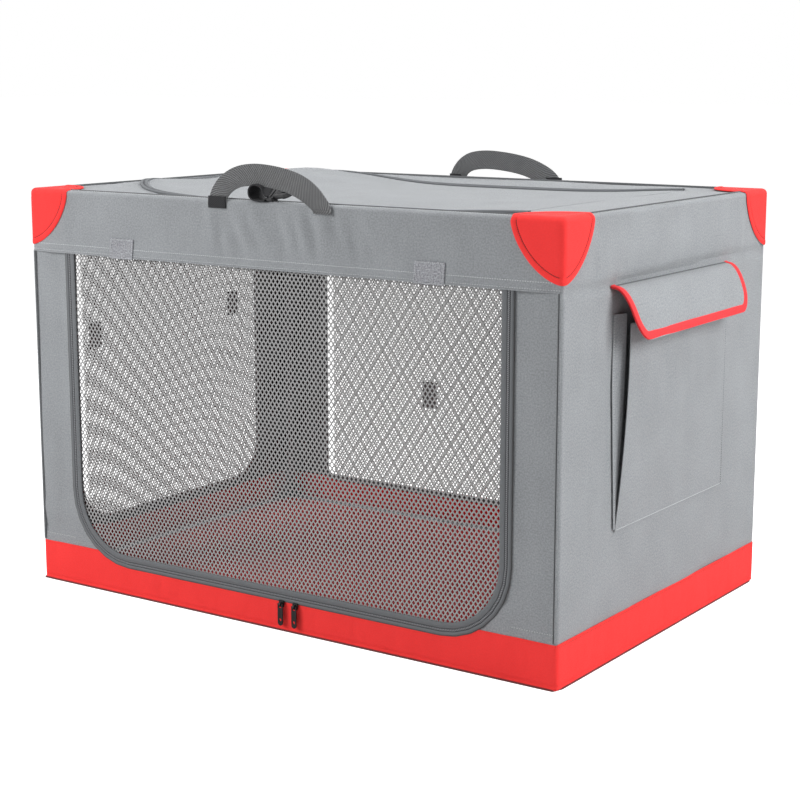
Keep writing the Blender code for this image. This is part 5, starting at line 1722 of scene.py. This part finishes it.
@dataclass
class SidePocket:
    """The right end's pocket: a pouch that gapes at its front edge, and a flap with a red binding.

    Places across run from the front to the rear. The flap comes out by its reach while it falls from its
    hinge, and its length is measured down its cloth.
    """

    front: float = -0.158
    rear: float = 0.172
    foot: float = 0.178
    mouth: float = 0.455
    stand: float = 0.017
    gusset: float = 0.0165
    flap: tuple[float, float] = (-0.176, 0.170)
    hinge: Point = (0.4543, 0.502)
    reach: float = 0.044
    fall: float = 0.066
    length: float = 0.082
    corner: float = 0.022
    inset: float = 0.0035
    binding: Point = (0.0115, 0.0042)

    def depth(self, u: float, v: float) -> float:
        """How far the pouch stands off the wall at a place."""
        rise = (v - self.foot) / (self.mouth - self.foot)
        along = (u - self.front) / (self.rear - self.front)
        gape = self.stand * (1 - (1 - rise) ** 2) * (1 - along) ** 0.9
        swell = math.sin(math.pi * along) * (1 - (1 - rise) ** 2)
        fold = 0.0040 * swell * crumple(u + v * 0.35, v * 0.22, 0.045, 31.0)
        return 0.0014 + gape + 0.004 * swell + fold

    def gusset_depth(self, u: float, v: float) -> float:
        """How far the gusset beside the pouch stands off the wall at a place."""
        from_seam = max(0.0, u - (self.front - self.gusset) - 0.006)
        return 0.0016 + 0.45 * from_seam * step(v, self.foot, self.mouth)

    def build(self) -> None:
        """Builds the pouch and the flap."""
        self.build_pouch()
        self.build_flap()

    def build_pouch(self) -> None:
        """Builds the pouch with its gusset and its three seams."""
        pouch = Work(Finish.GREY, Finish.GREY_THREAD, Finish.SHADE_THREAD)
        pouch.cloth(Side.RIGHT, (self.front, self.foot), (self.rear, self.mouth), 0.008, relief=self.depth,
                    thickness=0.0010)
        low, high, top = self.front - self.gusset, self.front + 0.006, self.mouth + 0.012
        base = self.foot + 0.004
        shape = [(low, top), (low, self.foot + 0.20), (self.front - 0.0045, base), (self.front + 0.001, base),
                 (high, self.foot + 0.12), (high, top)]
        pouch.cloth(Side.RIGHT, (low, base), (high, top), 0.005, keep=shape, relief=self.gusset_depth,
                    thickness=0.0008)
        edge = low + 0.0035
        # The front row is light thread and the rear row dark thread; the foot row's thick light thread also
        # stands for the panel's lit edge, a painted highlight.
        seams = (
            (0.0018, [(edge, top - 0.002), (edge, self.foot + 0.20), (self.front - 0.0015, self.foot + 0.02)],
             1, 0.0022, 0.0006),
            (0.0016, [(self.rear - 0.0030, self.foot), (self.rear - 0.0030, self.mouth - 0.003)],
             2, 0.0022, 0.0012),
            (0.0016, [(self.front + 0.004, self.foot + 0.0022), (self.rear, self.foot + 0.0022)],
             1, 0.0030, 0.0012),
        )
        for out, way, slot, length, width in seams:
            route = [Vector((OUT_X + out, u, v)) for u, v in way]
            pouch.stitches(route, outward(Side.RIGHT), slot, 0.0034, length, width)
        thing = pouch.piece("pocket_bag", "base", "grey_cloth", ["pocket_pouch"], True)

    def curve(self, down: float, along: float) -> Vector:
        """The flap's smooth curve, seen from the front.

        Args:
            down: the distance down it from its hinge.
            along: the place across the pocket.

        Returns:
            The point, with no place across.
        """
        share = down / self.length
        span = (along - self.flap[0]) / (self.flap[1] - self.flap[0])
        bend = Vector((0.022, 0, 0.0016))
        end = Vector((self.reach - 0.010 * span, 0, -self.fall))
        point = bend * 2 * share * (1 - share) + end * share ** 2
        return Vector((self.hinge[0] + point.x, 0, self.hinge[1] + point.z))

    def spot(self, along: float, down: float) -> Vector:
        """A point of the flap's cloth, with its soft unevenness."""
        point = self.curve(down, along)
        wave = 0.0012 * crumple(along, down, 0.07, 37.0) * down / self.length
        return Vector((point.x + wave, along, point.z))

    def pull(self, down: float) -> float:
        """How far the flap's sides are drawn in at its rounded lower corners."""
        past = max(0.0, down - (self.length - self.corner))
        return self.corner - math.sqrt(max(0.0, self.corner ** 2 - past ** 2))

    def border(self) -> list[Point]:
        """The flat route of the flap's binding: down one side, along the lower edge and up the other."""
        (low, high), corner, straight = self.flap, self.corner, self.length - self.corner
        points = line((low + self.inset, 0.0), (low + self.inset, straight), 0.006)
        for centre, start, stop in ((low + corner, -180, -90), (high - corner, -90, 0)):
            turned = arc((centre, straight), corner - self.inset, start, stop, 8)
            points += [(u, 2 * straight - down) for u, down in turned]
        return points + line((high - self.inset, straight), (high - self.inset, 0.0), 0.006)

    def build_flap(self) -> None:
        """Builds the flap's cloth, sews the red binding round it, and lays a dark line painted as the shadow
        above it.
        """
        low, high = self.flap
        part = flat_grid((0.0, 0.0), (1.0, 1.0), 48, 28)
        for vertex in part.verts:
            down = self.length * (1 - vertex.co.y) ** 0.8
            pull = self.pull(down)
            vertex.co = Vector((low + pull + (high - low - 2 * pull) * vertex.co.x, down, 0.0))
        chart(part)
        for vertex in part.verts:
            vertex.co = self.spot(vertex.co.x, vertex.co.y)
        thicken(part, -DOUBLED)
        work = Work(Finish.GREY, Finish.RED_BINDING, Finish.SHADE_THREAD)
        work.take(part)
        route, facing = [], []
        for along, down in self.border():
            ends = (min(self.length, down + 0.004), max(0.0, down - 0.004))
            slope = self.curve(ends[0], along) - self.curve(ends[1], along)
            route.append(self.spot(along, down))
            facing.append(Vector((-slope.z, 0, slope.x)).normalized())
        tuck = Vector((-0.0030, 0.0, 0.0015))
        work.band([route[0] + tuck, *route, route[-1] + tuck], [facing[0], *facing, facing[-1]],
                  *self.binding, 1, sides=12)
        # A dark line along the hinge, painted as the shadow above the flap.
        top = [Vector((self.hinge[0] - 0.0006, y, self.hinge[1] + 0.0012))
               for y in (low + 0.004, 0.0, high - 0.004)]
        work.band(spaced(top, 0.02), Vector((1, 0, 1)).normalized(), 0.0026, 0.0022, 2)
        thing = work.piece("pocket_lid", "pocket_flap", "grey_cloth", ["pocket_flap"], True)


@dataclass
class Hardware:
    """The rigid pieces that are carried over, each with its own finish, by the starts of their names."""

    steel: tuple = ("base_frame",)
    coated: tuple = ("top_frame", "upper_frame", "lower_leg")
    enamel: tuple = ("zip_slider", "zip_pull")
    zinc: tuple = ("knee_pin",)
    moulded: tuple = ("knee_fork", "knee_tongue", "base_bracket", "top_clip")

    def build(self) -> None:
        """Gives every carried-over piece its finish."""
        for finish, starts in ((Finish.STEEL, self.steel), (Finish.COATED, self.coated),
                               (Finish.ENAMEL, self.enamel), (Finish.ZINC, self.zinc),
                               (Finish.MOULDED, self.moulded)):
            nodes = [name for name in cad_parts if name.startswith(starts)]
            for node in nodes:
                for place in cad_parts[node].material_slots:
                    place.material = finish.material()
            LOG.info("%s on %d pieces", finish.value.name, len(nodes))


@dataclass
class Studio:
    """The camera, the floor, the lamps and the sky. A lamp is a name, a place, a size and a power."""

    place: tuple = (1.5029, -2.1714, 0.7808)
    yaw: float = 34.616
    pitch: float = 10.721
    focal: float = 79.911
    sky: float = 0.25
    reach: float = 30.0
    aim: tuple = (0, 0, 0.3)
    lamps: tuple = (("left", (-1.5, -1.9, 1.3), 1.2, 47.0), ("right", (2.9, 0.3, 1.6), 1.8, 81.0),
                    ("above", (0.2, 0.5, 3.2), 2.6, 73.0))

    def build(self) -> None:
        """Sets up the photograph's view, a pale floor and soft light."""
        scene = bpy.context.scene
        lens = bpy.data.cameras.new("view")
        lens.sensor_width = 36.0
        lens.lens = self.focal
        camera = added("view", lens)
        camera.location = self.place
        camera.rotation_euler = (math.radians(90 - self.pitch), 0, math.radians(self.yaw))
        scene.camera = camera
        self.floor()
        for name, place, size, power in self.lamps:
            self.lamp(name, place, size, power)
        self.world()
        scene.view_settings.view_transform = "Standard"

    def floor(self) -> None:
        """A pale floor that keeps the crate's shadow and reads as white round it."""
        form = bmesh.new()
        bmesh.ops.create_grid(form, x_segments=1, y_segments=1, size=self.reach)
        mesh = bpy.data.meshes.new("floor")
        form.to_mesh(mesh)
        form.free()
        ground = added("floor", mesh)
        graph = Graph(bpy.data.materials.new("floor"))
        glow = graph.node("ShaderNodeEmission", {}, {"Color": WHITE, "Strength": 0.86})
        pale = graph.node("ShaderNodeBsdfDiffuse", {}, {"Color": (0.62, 0.62, 0.62, 1)})
        lit = graph.node("ShaderNodeAddShader", {}, {0: glow, 1: pale})
        plain = graph.node("ShaderNodeBsdfDiffuse", {}, {"Color": (0.65, 0.65, 0.65, 1)})
        seen = self.ray(graph, "Camera")
        graph.end(graph.node("ShaderNodeMixShader", {}, {0: seen, 1: plain, 2: lit}))
        mesh.materials.append(graph.owner)

    @staticmethod
    def ray(graph: Graph, kind: str) -> Wire:
        """1 for a ray of a kind, else 0."""
        return graph.node("ShaderNodeLightPath", {}, {}, f"Is {kind} Ray")

    def lamp(self, name: str, place: tuple, size: float, power: float) -> None:
        """A soft square lamp that looks at the crate's middle."""
        data = bpy.data.lights.new(name, "AREA")
        data.shape = "SQUARE"
        data.size = size
        data.energy = power
        thing = added(name, data)
        thing.location = place
        thing.rotation_euler = (Vector(self.aim) - Vector(place)).to_track_quat("-Z", "Y").to_euler()

    def world(self) -> None:
        """A pale sky that shows white behind the crate, through it and in its reflections."""
        graph = Graph(bpy.data.worlds.new("studio"))
        bpy.context.scene.world = graph.owner
        sky = graph.node("ShaderNodeBackground", {}, {"Color": WHITE, "Strength": self.sky})
        white = graph.node("ShaderNodeBackground", {}, {"Color": WHITE, "Strength": 1.0})
        camera, through, glossy = (self.ray(graph, kind) for kind in ("Camera", "Transmission", "Glossy"))
        shown = graph.node("ShaderNodeMath", {"operation": "MAXIMUM"}, {0: camera, 1: through})
        shown = graph.node("ShaderNodeMath", {"operation": "MAXIMUM"}, {0: shown, 1: glossy})
        graph.end(graph.node("ShaderNodeMixShader", {}, {0: shown, 1: sky, 2: white}))


def main() -> None:
    """Builds the crate's pieces in order."""
    logging.basicConfig(level=logging.INFO, format="%(message)s")
    Studio().build()
    front = MeshDoor("front", Side.FRONT, "front_door", half=0.367, foot=0.0620, corner=0.090)
    left = MeshDoor("left", Side.LEFT, "left_door", half=0.215, foot=0.072, corner=0.062, pitch=0.0060,
                    row=0.0043, strand=0.00115, hangs_from="left_panel",
                    patches=((0.182, 0.364), (-0.151, 0.378)))
    for part in (BaseTray(front, left), FrontWall(front), front, left, RearWall(), EndWalls(left), Roof(),
                 CornerCaps(), Handles(), Buckle(), SidePocket(), Hardware()):
        LOG.info("building %s", type(part).__name__)
        part.build()
    bpy.context.view_layer.update()


if __name__ == "__main__":
    main()
